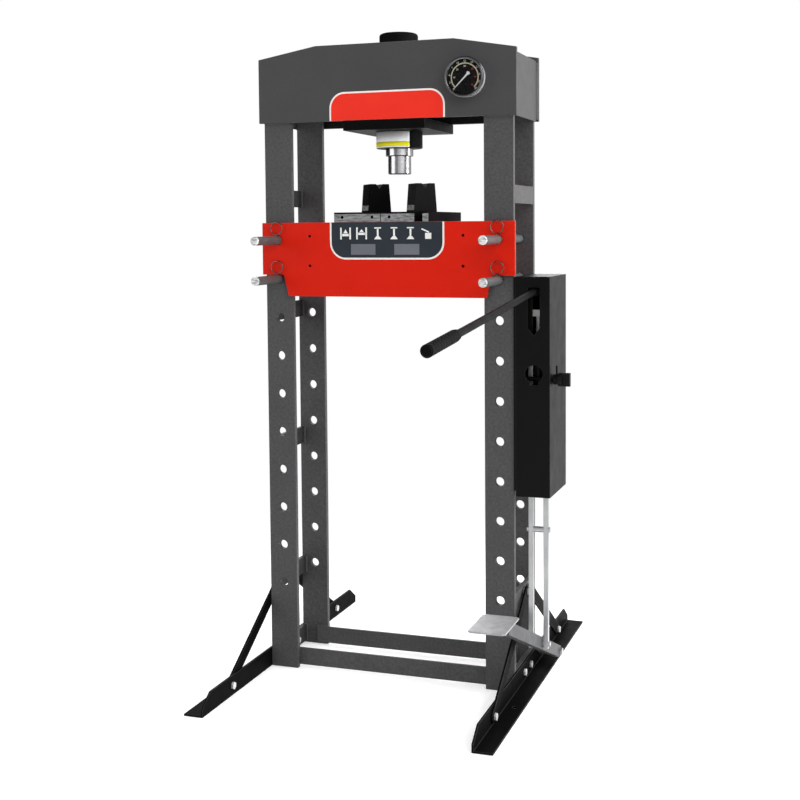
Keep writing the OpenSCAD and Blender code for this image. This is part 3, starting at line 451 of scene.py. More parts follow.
@dataclass(frozen=True)
class Palette:
    """Every finish of the press by its use."""

    frame_grey: Finish = Finish(
        "frame_grey_paint", Surface.PAINT, srgb(72, 72, 73), srgb(65, 65, 66), 0.52, pebble=0.1,
        grain_scale=170.0, bump=0.3, mottle_scale=9.0, specular=0.2, speckle=1.1)
    # Darker copy of the frame grey for the left ties: painted shade on their inner faces between the posts.
    tie_grey_painted_shade: Finish = replace(
        frame_grey, name="frame_grey_painted_shade", base=srgb(44, 44, 45), shade=srgb(37, 37, 38), specular=0.15)
    beam_grey: Finish = Finish(
        "beam_grey_paint", Surface.PAINT, srgb(65, 65, 66), srgb(61, 61, 62), 0.5, pebble=0.5,
        grain_scale=420.0, bump=0.18, mottle_scale=7.0, specular=0.2, speckle=0.3)
    # Beam grey with a black strip on the faces looking forward, 1.4 m to 1.478 m up: painted shade under
    # the front plate.
    beam_rear_painted_shade: Finish = replace(
        beam_grey, name="beam_grey_painted_shade", wear_and_shade_colour=srgb(8, 8, 8), patch_side=(0.0, -1.0, 0.0),
        patch_heights=(1.4, 1.478), patch_floor=0.9)
    frame_edge: Finish = Finish(
        "frame_grey_edge", Surface.PAINT, srgb(74, 74, 75), srgb(64, 64, 65), 0.48, chip_cover=0.1,
        wear_and_shade_colour=srgb(122, 122, 122), specular=0.16)
    black: Finish = Finish(
        "black_paint", Surface.PAINT, srgb(8, 8, 9), srgb(6, 6, 7), 0.44, pebble=0.5, grain_scale=420.0,
        bump=0.16, mottle_scale=7.0, specular=0.105, speckle=0.4)
    lever_black: Finish = replace(
        black, name="lever_black_paint", base=srgb(12, 12, 13), shade=srgb(9, 9, 10), roughness=0.46,
        specular=0.045)
    # Rounded edges of the black paint, much lighter than the paint: a painted highlight along the edges,
    # with real chips.
    black_edge_highlight: Finish = replace(
        frame_edge, name="black_paint_edge_highlight", base=srgb(34, 34, 35), shade=srgb(24, 24, 25),
        roughness=0.4, wear_and_shade_colour=srgb(104, 104, 104), specular=0.15)
    red: Finish = Finish(
        "bed_red_paint", Surface.PAINT, srgb(206, 29, 8), srgb(194, 24, 6), 0.4, pebble=0.5,
        grain_scale=300.0, mottle_scale=8.0, mottle=0.5, specular=0.12, speckle=0.12)
    # Bed red with a pinkish grey strip on the faces that look right, 1.0 m to 1.3 m up.
    red_grey_end: Finish = replace(
        red, name="bed_red_grey_end_paint", wear_and_shade_colour=srgb(92, 62, 58), patch_side=(1.0, 0.0, 0.0),
        patch_heights=(1.0, 1.3), patch_floor=0.9)
    red_edge: Finish = replace(
        black_edge_highlight, name="bed_red_edge", base=srgb(212, 46, 32), shade=srgb(182, 26, 16),
        wear_and_shade_colour=srgb(96, 60, 54))
    zinc: Finish = Finish(
        "zinc_plate", Surface.METAL, srgb(196, 197, 199), srgb(160, 162, 166), 0.36, metallic=0.85,
        grain_scale=160.0, bump=0.05, mottle_scale=26.0, spread=0.3)
    bolt_zinc: Finish = replace(
        zinc, name="bright_zinc_bolt", base=srgb(222, 223, 224), shade=srgb(172, 174, 177),
        roughness=0.34, metallic=0.4)
    plunger_steel: Finish = replace(
        zinc, name="polished_plunger", base=srgb(246, 246, 246), shade=srgb(226, 227, 228),
        roughness=0.3, metallic=0.25)
    pin_steel: Finish = Finish(
        "drawn_pin_steel", Surface.METAL, srgb(86, 89, 89), srgb(64, 67, 67), 0.4, metallic=0.15,
        cut_colour=srgb(246, 246, 246), cut_front=-0.2585, grain_stretch=(1.0, 0.03, 1.0), bump=0.08,
        mottle_scale=22.0, spread=0.3)
    # The links darken above 0.86 m: painted shade where they run up inside the pump cover.
    drawn_zinc: Finish = Finish(
        "drawn_zinc_bar", Surface.METAL, srgb(192, 193, 194), srgb(158, 160, 163), 0.36, metallic=0.8,
        grain_scale=900.0, grain_stretch=(1.0, 1.0, 0.03), bump=0.08, mottle_scale=18.0, spread=0.3,
        painted_shade_from=0.86, wear_and_shade_colour=srgb(46, 45, 43))
    spring: Finish = Finish(
        "spring_wire", Surface.METAL, srgb(118, 108, 104), srgb(66, 56, 54), 0.2, metallic=1.0,
        grain_scale=500.0, bump=0.05, mottle_scale=60.0, mottle=0.8)
    pedal_steel: Finish = Finish(
        "galvanised_pedal", Surface.METAL, srgb(174, 175, 176), srgb(138, 139, 141), 0.5, metallic=0.55,
        grain_scale=260.0, pebble=0.7, mottle_scale=46.0, mottle=0.75, spread=0.3)
    arm_steel: Finish = replace(
        pedal_steel, name="rolled_arm_steel", base=srgb(76, 77, 78), shade=srgb(58, 59, 61),
        roughness=0.52, metallic=0.3, grain_scale=220.0, pebble=0.5, mottle_scale=38.0)
    ram_steel: Finish = Finish(
        "ground_ram_steel", Surface.METAL, srgb(186, 186, 188), srgb(150, 150, 152), 0.2, metallic=0.95,
        grain_stretch=(0.04, 0.04, 1.0), bump=0.1, mottle_scale=30.0, edge_tint=0.3)
    plate_steel: Finish = Finish(
        "press_plate_steel", Surface.METAL, srgb(16, 16, 17), srgb(11, 11, 12), 0.66, grain_scale=240.0,
        bump=0.18, mottle_scale=18.0, mottle=0.8, chip_cover=0.05, chip_scale=90.0,
        wear_and_shade_colour=srgb(54, 54, 55), specular=0.02, cut_colour=srgb(156, 156, 157), cut_front=-0.1204,
        cut_rim=1.1945)
    block: Finish = Finish(
        "black_block_steel", Surface.METAL, srgb(7, 7, 8), srgb(4, 4, 5), 0.5, grain_scale=320.0,
        bump=0.2, pebble=0.4, mottle_scale=30.0, specular=0.02, speckle=0.3,
        wear_and_shade_colour=srgb(166, 166, 167), patch_side=(-0.788, -0.616, 0.0),
        patch_heights=(1.2035, 1.2165))
    # Lighter copy of the block steel for the right V-block: painted light on its lit faces.
    block_painted_light: Finish = replace(
        block, name="block_steel_painted_light", base=srgb(26, 26, 27), shade=srgb(20, 20, 21))
    deep_black: Finish = Finish(
        "deep_black_paint", Surface.PAINT, srgb(8, 8, 8), srgb(5, 5, 5), 0.5, pebble=0.5,
        grain_scale=420.0, bump=0.14, mottle_scale=8.0, specular=0.04, speckle=0.4)
    foot_black: Finish = replace(
        deep_black, name="foot_black_paint", base=srgb(13, 13, 13), shade=srgb(9, 9, 9), specular=0.012)
    casting: Finish = Finish(
        "pump_casting_black", Surface.PAINT, srgb(30, 30, 31), srgb(20, 20, 21), 0.5, grain_scale=420.0,
        pebble=0.6, bump=0.25, specular=0.2)
    chrome: Finish = Finish(
        "bezel_steel", Surface.METAL, srgb(122, 123, 125), srgb(100, 101, 103), 0.2, metallic=1.0,
        spread=0.1, bump=0.02, edge_tint=0.5)
    case: Finish = Finish(
        "gauge_case_steel", Surface.METAL, srgb(206, 206, 207), srgb(184, 184, 186), 0.42,
        metallic=0.35, spread=0.2, grain_scale=500.0, bump=0.04)
    dial: Finish = Finish(
        "dial_black", Surface.PRINT, srgb(12, 12, 13), srgb(18, 18, 19), 0.6, bump=0.03, specular=0.05)
    scale: Finish = Finish(
        "scale_cream", Surface.PRINT, srgb(214, 210, 184), srgb(198, 192, 164), 0.55, bump=0.02,
        specular=0.1)
    scale_red: Finish = replace(
        scale, name="scale_red", base=srgb(176, 60, 46), shade=srgb(160, 50, 40))
    needle: Finish = replace(
        scale, name="needle_white", base=srgb(232, 232, 230), shade=srgb(220, 220, 217), roughness=0.5)
    lens: Finish = Finish(
        "gauge_lens", Surface.GLASS, (0.01, 0.01, 0.01), (0.01, 0.01, 0.01), 0.08, specular=0.5,
        spread=0.12)
    rubber: Finish = Finish(
        "grip_rubber", Surface.PLASTIC, srgb(10, 10, 11), srgb(15, 15, 15), 0.6, pebble=0.7,
        grain_scale=900.0, bump=0.2, specular=0.04)
    plastic: Finish = Finish(
        "knob_plastic", Surface.PLASTIC, srgb(11, 11, 12), srgb(17, 17, 18), 0.42, bump=0.06,
        specular=0.12)
    print_red: Finish = Finish(
        "panel_red", Surface.PRINT, srgb(230, 50, 36), srgb(220, 42, 29), 0.4, bump=0.02, mottle=0.4,
        specular=0.12)
    print_white: Finish = replace(
        print_red, name="panel_white", base=srgb(236, 230, 226), shade=srgb(224, 220, 216),
        roughness=0.42)
    print_dark: Finish = Finish(
        "panel_slate", Surface.PRINT, srgb(45, 51, 57), srgb(38, 44, 49), 0.42, bump=0.02, specular=0.1)
    print_grey: Finish = replace(
        print_dark, name="panel_grey", base=srgb(106, 108, 116), shade=srgb(94, 97, 104), specular=0.12)
    label_white: Finish = Finish(
        "label_white", Surface.PRINT, srgb(246, 246, 246), srgb(238, 238, 238), 0.45, bump=0.02,
        mottle=0.5, specular=0.1)
    label_yellow: Finish = replace(
        label_white, name="label_yellow", base=srgb(236, 228, 40), shade=srgb(224, 216, 32))
    weld: Finish = Finish(
        "painted_weld", Surface.PAINT, srgb(82, 82, 82), srgb(62, 62, 63), 0.46, pebble=0.4,
        grain_scale=380.0, bump=0.3, chip_cover=0.1, wear_and_shade_colour=srgb(118, 117, 115), specular=0.22)


class Shop:
    """Mesh tools and materials that every sub-assembly uses."""

    bead_sides: int = 10
    bead_step: float = 0.0016
    ripple: float = 0.0052
    ripple_coarse: float = 0.16
    ripple_fine: float = 0.07
    fine_turns: Flat = (91.0, 900.0)
    end_share: float = 0.35
    end_rise: float = 4.0

    def __init__(self, palette: Palette) -> None:
        """Builds the shared effects.

        Args:
            palette: The finishes to use.
        """
        self.palette = palette
        self.effects = Effects()
        self._built: dict[str, bpy.types.Material] = {}

    def material(self, finish: Finish) -> bpy.types.Material:
        """Gives the material of a finish, made on first use.

        Args:
            finish: The finish.

        Returns:
            Its material.
        """
        if finish.name not in self._built:
            self._built[finish.name] = finish.build(self.effects)
        return self._built[finish.name]

    def dress(self, nodes: str | Iterable[str], finish: Finish, edge: Finish | None = None,
              width: float = 0.0) -> None:
        """Gives solids of the frame their finish, and soft edges where asked.

        Args:
            nodes: Name of the solid, or names of several.
            finish: Finish of their faces.
            edge: Finish of their rounded edges, or None for the same.
            width: Width of the rounded edges in metres, zero for none.
        """
        for node in (nodes,) if isinstance(nodes, str) else nodes:
            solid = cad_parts[node]
            solid.data.materials.clear()
            solid.data.materials.append(self.material(finish))
            if width > 0.0:
                if edge is not None:
                    solid.data.materials.append(self.material(edge))
                self._round(solid, width, 1 if edge is not None else -1)
            LOG.info("dressed %s in %s", node, finish.name)

    @staticmethod
    def _round(solid: bpy.types.Object, width: float, material: int) -> None:
        """Rounds the sharp edges of a solid.

        Args:
            solid: The solid.
            width: Width of the rounded edges.
            material: Place of the edges' material in the solid's list, -1 for the faces' own.
        """
        weld = solid.modifiers.new("join", "WELD")
        weld.merge_threshold = SAME_POINT
        bevel = solid.modifiers.new("round", "BEVEL")
        bevel.width = width
        bevel.segments = 2
        bevel.limit_method = "ANGLE"
        bevel.angle_limit = SHARP_EDGE
        bevel.use_clamp_overlap = True
        bevel.loop_slide = False
        bevel.material = material
        even = solid.modifiers.new("even", "WEIGHTED_NORMAL")
        even.weight = 100
        even.keep_sharp = False

    def piece(self, name: str, mesh: bmesh.types.BMesh, finish: Finish, slot: str, body: str = "frame",
              smooth: bool = False) -> None:
        """Turns a built mesh into a piece that rides on a body.

        Args:
            name: Name of the piece.
            mesh: The built mesh, which is used up.
            finish: Finish of the piece.
            slot: The record's slot that the finish belongs to; not used.
            body: Body that carries it.
            smooth: Whether its faces are shaded smooth.
        """
        bmesh.ops.recalc_face_normals(mesh, faces=mesh.faces)
        data = bpy.data.meshes.new(name)
        mesh.to_mesh(data)
        mesh.free()
        for face in data.polygons:
            face.use_smooth = smooth
        data.materials.append(self.material(finish))
        thing = bpy.data.objects.new(name, data)
        bpy.context.scene.collection.objects.link(thing)
        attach(thing, body)
        LOG.info("made %s on %s", name, body)

    def sheets(self, name: str, outlines: Iterable[Sequence[Flat]], front: float, thick: float,
               finish: Finish, slot: str, body: str = "frame") -> None:
        """Makes a piece of thin sheets that face the front.

        Args:
            name: Name of the piece.
            outlines: Outline of each sheet in X and Z.
            front: Y of their front faces.
            thick: Their thickness.
            finish: Finish of the piece.
            slot: The record's slot that the finish belongs to.
            body: Body that carries it.
        """
        mesh = bmesh.new()
        for outline in outlines:
            self.tube(mesh, [[mesh.verts.new((x, y, z)) for x, z in outline]
                             for y in (front, front + thick)])
        self.piece(name, mesh, finish, slot, body)

    @staticmethod
    def tube(mesh: bmesh.types.BMesh, rings: Sequence[Sequence[bmesh.types.BMVert]]) -> None:
        """Joins rings of points into a closed solid with flat ends.

        Args:
            mesh: Mesh that takes the solid.
            rings: Its rings from one end to the other, with equal numbers of points.
        """
        for a, b in zip(rings, rings[1:]):
            for k in range(len(a)):
                n = (k + 1) % len(a)
                mesh.faces.new((a[k], a[n], b[n], b[k]))
        mesh.faces.new(list(reversed(rings[0])))
        mesh.faces.new(rings[-1])

    def wrap(self, mesh: bmesh.types.BMesh, turns: Iterable[float], z0: float, z1: float, radius: float,
             thick: float) -> None:
        """Adds a thin sheet bent round the upright axis.

        Args:
            mesh: Mesh that takes the sheet.
            turns: Turn of each of its columns, in degrees from the front.
            z0: Lower edge.
            z1: Upper edge.
            radius: Outer radius of the sheet.
            thick: Its thickness.
        """
        rings = []
        for turn in turns:
            x, y = math.sin(math.radians(turn)), -math.cos(math.radians(turn))
            rings.append([mesh.verts.new((r * x, r * y, z)) for r, z in
                          ((radius, z0), (radius, z1), (radius - thick, z1), (radius - thick, z0))])
        self.tube(mesh, rings)

    def bead(self, mesh: bmesh.types.BMesh, start: Point, end: Point, radius: float) -> None:
        """Adds a rippled weld bead along a corner.

        Args:
            mesh: Mesh that takes the bead.
            start: First end of the corner.
            end: Second end of the corner.
            radius: Mean radius of the bead.
        """
        sides = self.bead_sides
        along, over = self.fine_turns
        run = Vector(end) - Vector(start)
        length = run.length
        axis = run.normalized()
        side = axis.orthogonal().normalized()
        other = axis.cross(side)
        steps = max(6, int(length / self.bead_step))
        rings = []
        for i in range(steps + 1):
            t = i / steps
            to_end = min(t, 1.0 - t) * length
            fade = min(1.0, self.end_rise * to_end / radius + self.end_share)
            wave = (self.ripple_coarse * math.sin(2.0 * math.pi * t * length / self.ripple)
                    + self.ripple_fine * math.sin(along * t + length * over))
            r = radius * fade * (1.0 + wave)
            middle = Vector(start) + run * t
            rings.append([mesh.verts.new(middle + r * (math.cos(a) * side + math.sin(a) * other))
                          for a in (2.0 * math.pi * k / sides for k in range(sides))])
        self.tube(mesh, rings)

    def turned(self, mesh: bmesh.types.BMesh, profile: Sequence[Flat], place: Matrix, sides: int) -> None:
        """Adds a turned solid from a profile of radius and height.

        Args:
            mesh: Mesh that takes the solid.
            profile: Radius and height from one end to the other, closed by its end discs.
            place: Where the solid goes.
            sides: Number of sides.
        """
        self.tube(mesh, [[mesh.verts.new(place @ Vector((r * math.cos(a), r * math.sin(a), h)))
                          for a in (2.0 * math.pi * k / sides for k in range(sides))] for r, h in profile])


def rounded(x0: float, x1: float, z0: float, z1: float, radii: Sequence[float],
            steps: int = 10) -> list[Flat]:
    """Outline of a rectangle with its own radius at each corner.

    Args:
        x0: Left edge.
        x1: Right edge.
        z0: Lower edge.
        z1: Upper edge.
        radii: Radii at lower left, lower right, upper right and upper left.
        steps: Points on each rounded corner.

    Returns:
        Points in X and Z, counter-clockwise.
    """
    corners = ((x0, z0, 1, 1, 180.0), (x1, z0, -1, 1, 270.0), (x1, z1, -1, -1, 0.0), (x0, z1, 1, -1, 90.0))
    points: list[Flat] = []
    for (x, z, sx, sz, turn), r in zip(corners, radii):
        if r <= 0.0:
            points.append((x, z))
            continue
        for i in range(steps + 1):
            a = math.radians(turn + 90.0 * i / steps)
            points.append((x + sx * r + r * math.cos(a), z + sz * r + r * math.sin(a)))
    return points


@dataclass
class WeldedFrame:
    """Posts, ties, cross bars, feet, braces and their welds and bolts."""

    shop: Shop
    edge: float = 0.0012
    foot_edge: float = 0.00084
    bolt_edge: float = 0.0006
    bead: float = 0.0036
    short_bead: float = 0.00288
    tie_tuck: float = 0.001
    bar_tuck: float = 0.004
    flush: float = 0.00001
    posts: tuple[str, ...] = ("post_front_left", "post_front_right", "post_rear_left", "post_rear_right")
    bars: tuple[str, ...] = ("cross_bar_front", "cross_bar_rear")
    ties: tuple[str, ...] = ("ties_left", "ties_right")
    feet: tuple[str, ...] = ("foot_left", "foot_right", "brace_front_left", "brace_rear_left",
                             "brace_front_right", "brace_rear_right")

    def build(self) -> None:
        """Dresses the frame and adds its welds."""
        colours = self.shop.palette
        self.shop.dress(self.posts + self.bars, colours.frame_grey, colours.frame_edge, self.edge)
        # The left ties take the frame grey with painted shade.
        self.shop.dress("ties_left", colours.tie_grey_painted_shade, None, self.edge)
        self.shop.dress("ties_right", colours.frame_grey, colours.frame_edge, self.edge)
        self.shop.dress(self.feet, colours.foot_black, colours.black_edge_highlight, self.foot_edge)
        self.shop.dress("frame_bolts", colours.bolt_zinc, None, self.bolt_edge)
        self._welds()

    def _welds(self) -> None:
        """Adds the beads where ties and cross bars meet the posts."""
        mesh = bmesh.new()
        for node, side in zip(self.ties, (-1.0, 1.0)):
            low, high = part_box(node)
            inner, outer = (low[0], high[0]) if side > 0 else (high[0], low[0])
            for z0, z1 in self._tie_heights(node):
                for y in (low[1], high[1]):
                    self.shop.bead(mesh, (inner, y, z0), (inner, y, z1), self.bead)
                    for z in (z0, z1):
                        end = outer - side * self.tie_tuck
                        self.shop.bead(mesh, (inner, y, z), (end, y, z), self.short_bead)
        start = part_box("post_front_right")[0][0] + self.bar_tuck
        for node, face in zip(self.bars, (0, 1)):
            low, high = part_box(node)
            y = (low, high)[face][1]
            for side, end in ((-1.0, low[0]), (1.0, high[0])):
                for z in (low[2], high[2]):
                    self.shop.bead(mesh, (side * start, y, z), (end, y, z), self.short_bead)
                self.shop.bead(mesh, (end, y, low[2]), (end, y, high[2]), self.short_bead)
        self.shop.piece("frame_weld_beads", mesh, self.shop.palette.weld, "frame_paint", smooth=True)

    def _tie_heights(self, node: str) -> list[Flat]:
        """Reads the lower and upper edge of each tie from its solid.

        Args:
            node: Name of the group of ties.

        Returns:
            Pairs of heights, lowest first.
        """
        low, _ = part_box(node)
        heights = sorted({round(v.co.z, 5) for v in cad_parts[node].data.vertices
                          if abs(v.co.y - low[1]) < self.flush and abs(v.co.x - low[0]) < self.flush})
        return list(zip(heights[0::2], heights[1::2]))


@dataclass
class Head:
    """Beam, cylinder, ram and pressure gauge."""

    shop: Shop
    edge: float = 0.0014
    cylinder_edge: float = 0.0008
    cap_edge: float = 0.0012
    ram_edge: float = 0.0006
    bezel_edge: float = 0.0005
    end_bead: float = 0.0034
    rail_bead: float = 0.003
    bead_tuck: float = 0.004
    panel_x: Flat = (-0.145, 0.161)
    panel_rise: float = 0.0005
    panel_height: float = 0.0715
    panel_corner: float = 0.04
    border: float = 0.0044
    sheet: float = 0.0004
    label_sheet: float = 0.0003
    label_turns: range = range(-76, 45, 4)
    label_gaps: Flat = (0.0012, 0.0006)
    band_heights: Flat = (0.003, 0.0145)
    print_gap: float = 0.00025
    print_sheet: float = 0.0002
    paint_sheet: float = 0.0003
    zero_turn: float = 225.0
    sweep: float = 270.0
    scale_steps: int = 90
    scale_marks: int = 30
    red_from: int = 20
    scale_radius: float = 0.0352
    scale_width: float = 0.0026
    mark_halves: Flat = (0.5, 0.85)
    mark_lengths: Flat = (0.0012, 0.0019)
    figure_radius: float = 0.0396
    figure_size: float = 0.007
    inner_radius: float = 0.0268
    inner_size: float = 0.0056
    figure_weight: float = 0.03
    pointer: tuple[Flat, ...] = ((0.0385, 0.0007), (0.0, 0.0017), (-0.0096, 0.0022), (-0.0112, 0.0038),
                                 (-0.0136, 0.0046), (-0.016, 0.0038), (-0.0172, 0.0), (-0.016, -0.0038),
                                 (-0.0136, -0.0046), (-0.0112, -0.0038), (-0.0096, -0.0022), (0.0, -0.0017),
                                 (0.0385, -0.0007))

    def build(self) -> None:
        """Dresses the head and adds its panel, welds and dial."""
        colours, dress = self.shop.palette, self.shop.dress
        dress(("beam_front_plate", "beam_end_left", "beam_end_right"), colours.beam_grey,
              colours.frame_edge, self.edge)
        # The rear plate's front face under the beam carries painted shade.
        dress("beam_rear_plate", colours.beam_rear_painted_shade, colours.frame_edge, self.edge)
        dress(("cylinder_mount_plate", "cylinder_barrel"), colours.deep_black, colours.black_edge_highlight,
              self.cylinder_edge)
        dress("cylinder_cap", colours.rubber, None, self.cap_edge)
        dress(("ram", "ram_nose"), colours.ram_steel, None, self.ram_edge)
        dress("gauge_case", colours.case)
        dress("gauge_bezel", colours.chrome, None, self.bezel_edge)
        dress(("gauge_dial", "gauge_needle"), colours.dial)
        dress("gauge_glass", colours.lens)
        self._panel()
        self._label()
        self._welds()
        self._scale()

    def _panel(self) -> None:
        """Adds the plain red panel with its white border."""
        low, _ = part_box("beam_front_plate")
        z0 = low[2] + self.panel_rise
        z1 = z0 + self.panel_height
        (x0, x1), colours = self.panel_x, self.shop.palette
        for i, (name, finish) in enumerate((("border", colours.print_white), ("field", colours.print_red))):
            line = i * self.border
            corner = self.panel_corner - line
            outline = rounded(x0 + line, x1 - line, z0, z1 - line, (0.0, 0.0, corner, corner))
            self.shop.sheets(f"beam_panel_{name}", [outline], low[1] - (i + 1) * self.sheet, self.sheet,
                             finish, "red_paint")

    def _label(self) -> None:
        """Adds the white sleeve round the cylinder with its plain yellow band."""
        low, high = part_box("cylinder_barrel")
        radius = (high[0] - low[0]) / 2.0
        z0 = low[2] + self.label_gaps[0]
        z1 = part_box("cylinder_mount_plate")[0][2] - self.label_gaps[1]
        colours = self.shop.palette
        band_low, band_high = self.band_heights
        for name, finish, layer, bottom, top in (
                ("cylinder_label", colours.label_white, 1, z0, z1),
                ("cylinder_label_band", colours.label_yellow, 2, z0 + band_low, z0 + band_high)):
            mesh = bmesh.new()
            self.shop.wrap(mesh, self.label_turns, bottom, top, radius + layer * self.label_sheet,
                           self.label_sheet)
            self.shop.piece(name, mesh, finish, "red_paint", smooth=True)

    def _welds(self) -> None:
        """Adds the seams of the end plates and under the beam plates."""
        mesh = bmesh.new()
        tuck = self.bead_tuck
        for node, side in (("beam_end_right", 1), ("beam_end_left", 0)):
            low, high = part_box(node)
            x = (low, high)[side][0]
            for y in (low[1], high[1]):
                self.shop.bead(mesh, (x, y, low[2] + tuck), (x, y, high[2] - tuck), self.end_bead)
        post_low, post_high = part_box("post_front_right")
        for node, inside in (("beam_front_plate", 1), ("beam_rear_plate", 0)):
            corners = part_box(node)
            y, z = corners[inside][1], corners[0][2]
            for side in (-1.0, 1.0):
                self.shop.bead(mesh, (side * (post_low[0] + tuck), y, z),
                               (side * (post_high[0] - tuck), y, z), self.rail_bead)
        self.shop.piece("beam_weld_beads", mesh, self.shop.palette.weld, "frame_paint", smooth=True)

    def _scale(self) -> None:
        """Adds the scale, marks and figures of the dial."""
        low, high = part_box("gauge_dial")
        cx, cz = (low[0] + high[0]) / 2.0, (low[2] + high[2]) / 2.0
        front = low[1] - self.print_gap
        colours = self.shop.palette

        def at(angle: float, radius: float) -> Flat:
            """Point on the dial, with the angle clockwise from zero."""
            a = math.radians(self.zero_turn - angle)
            return cx + radius * math.cos(a), cz + radius * math.sin(a)

        def mark(i: int, every: int, radius: float, way: float) -> list[Flat]:
            """Outline of one mark of the scale.

            Args:
                i: Number of the mark, from zero.
                every: Marks from one long mark to the next.
                radius: Radius that the mark starts from.
                way: 1 for a mark outside its radius, -1 for one inside.

            Returns:
                Its corners in X and Z.
            """
            major = i % every == 0
            half = self.mark_halves[major]
            reach = way * self.mark_lengths[major]
            turn = self.sweep * i / self.scale_marks
            corners = ((-half, 0.0), (half, 0.0), (half, reach), (-half, reach))
            return [at(turn + across, radius + out) for across, out in corners]

        rim, inside = self.scale_radius, self.scale_radius - self.scale_width
        turns = [self.sweep * i / self.scale_steps for i in range(self.scale_steps + 1)]
        outlines = [[at(a, rim), at(b, rim), at(b, inside), at(a, inside)]
                    for a, b in zip(turns, turns[1:])]
        outlines += [mark(i, 3, rim, 1.0) for i in range(self.scale_marks + 1)]
        self.shop.sheets("gauge_scale", outlines, front, self.print_sheet, colours.scale, "needle_white")
        outlines = [mark(i, 5, inside, -1.0) for i in range(self.red_from, self.scale_marks + 1)]
        self.shop.sheets("gauge_red_marks", outlines, front, self.print_sheet, colours.scale_red,
                         "needle_white")
        for i in range(11):
            x, z = at(self.sweep * i / 10, self.figure_radius)
            self._figure(f"gauge_figure_{i}", str(3 * i), (x, front, z), self.figure_size, colours.scale)
        for i in range(7):
            x, z = at(self.sweep * i / 6, self.inner_radius)
            self._figure(f"gauge_inner_figure_{i}", str(10 * i), (x, front, z), self.inner_size,
                         colours.scale if i < 4 else colours.scale_red)
        self._pointer(Vector((cx, cz)))

    def _pointer(self, axis: Vector) -> None:
        """Adds the white paint of the needle: a wedge from its tip to a broad tail.

        Args:
            axis: Needle's axis in X and Z.
        """
        low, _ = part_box("gauge_needle")
        reach = Vector((-math.sqrt(0.5), -math.sqrt(0.5)))
        side = Vector((-reach.y, reach.x))
        outline = [tuple(axis + along * reach + across * side) for along, across in self.pointer]
        self.shop.sheets("gauge_pointer_paint", [outline], low[1] - self.paint_sheet, self.paint_sheet,
                         self.shop.palette.needle, "needle_white", "needle")

    def _figure(self, name: str, text: str, place: Point, size: float, finish: Finish) -> None:
        """Adds one number of the dial as a flat mesh.

        Args:
            name: Name of the piece.
            text: The number.
            place: Its middle.
            size: Height of the letters.
            finish: Finish of the figure.
        """
        curve = bpy.data.curves.new(name, "FONT")
        curve.body = text
        curve.size = size
        curve.offset = size * self.figure_weight
        curve.align_x = "CENTER"
        curve.align_y = "CENTER"
        source = bpy.data.objects.new(name + "_curve", curve)
        bpy.context.scene.collection.objects.link(source)
        bpy.context.view_layer.update()
        flat = bpy.data.meshes.new_from_object(source.evaluated_get(bpy.context.evaluated_depsgraph_get()))
        bpy.data.objects.remove(source)
        mesh = bmesh.new()
        mesh.from_mesh(flat)
        bpy.data.meshes.remove(flat)
        bmesh.ops.transform(mesh, matrix=Matrix.Translation(place) @ QUARTER_TURN, verts=mesh.verts)
        self.shop.piece(name, mesh, finish, "needle_white")


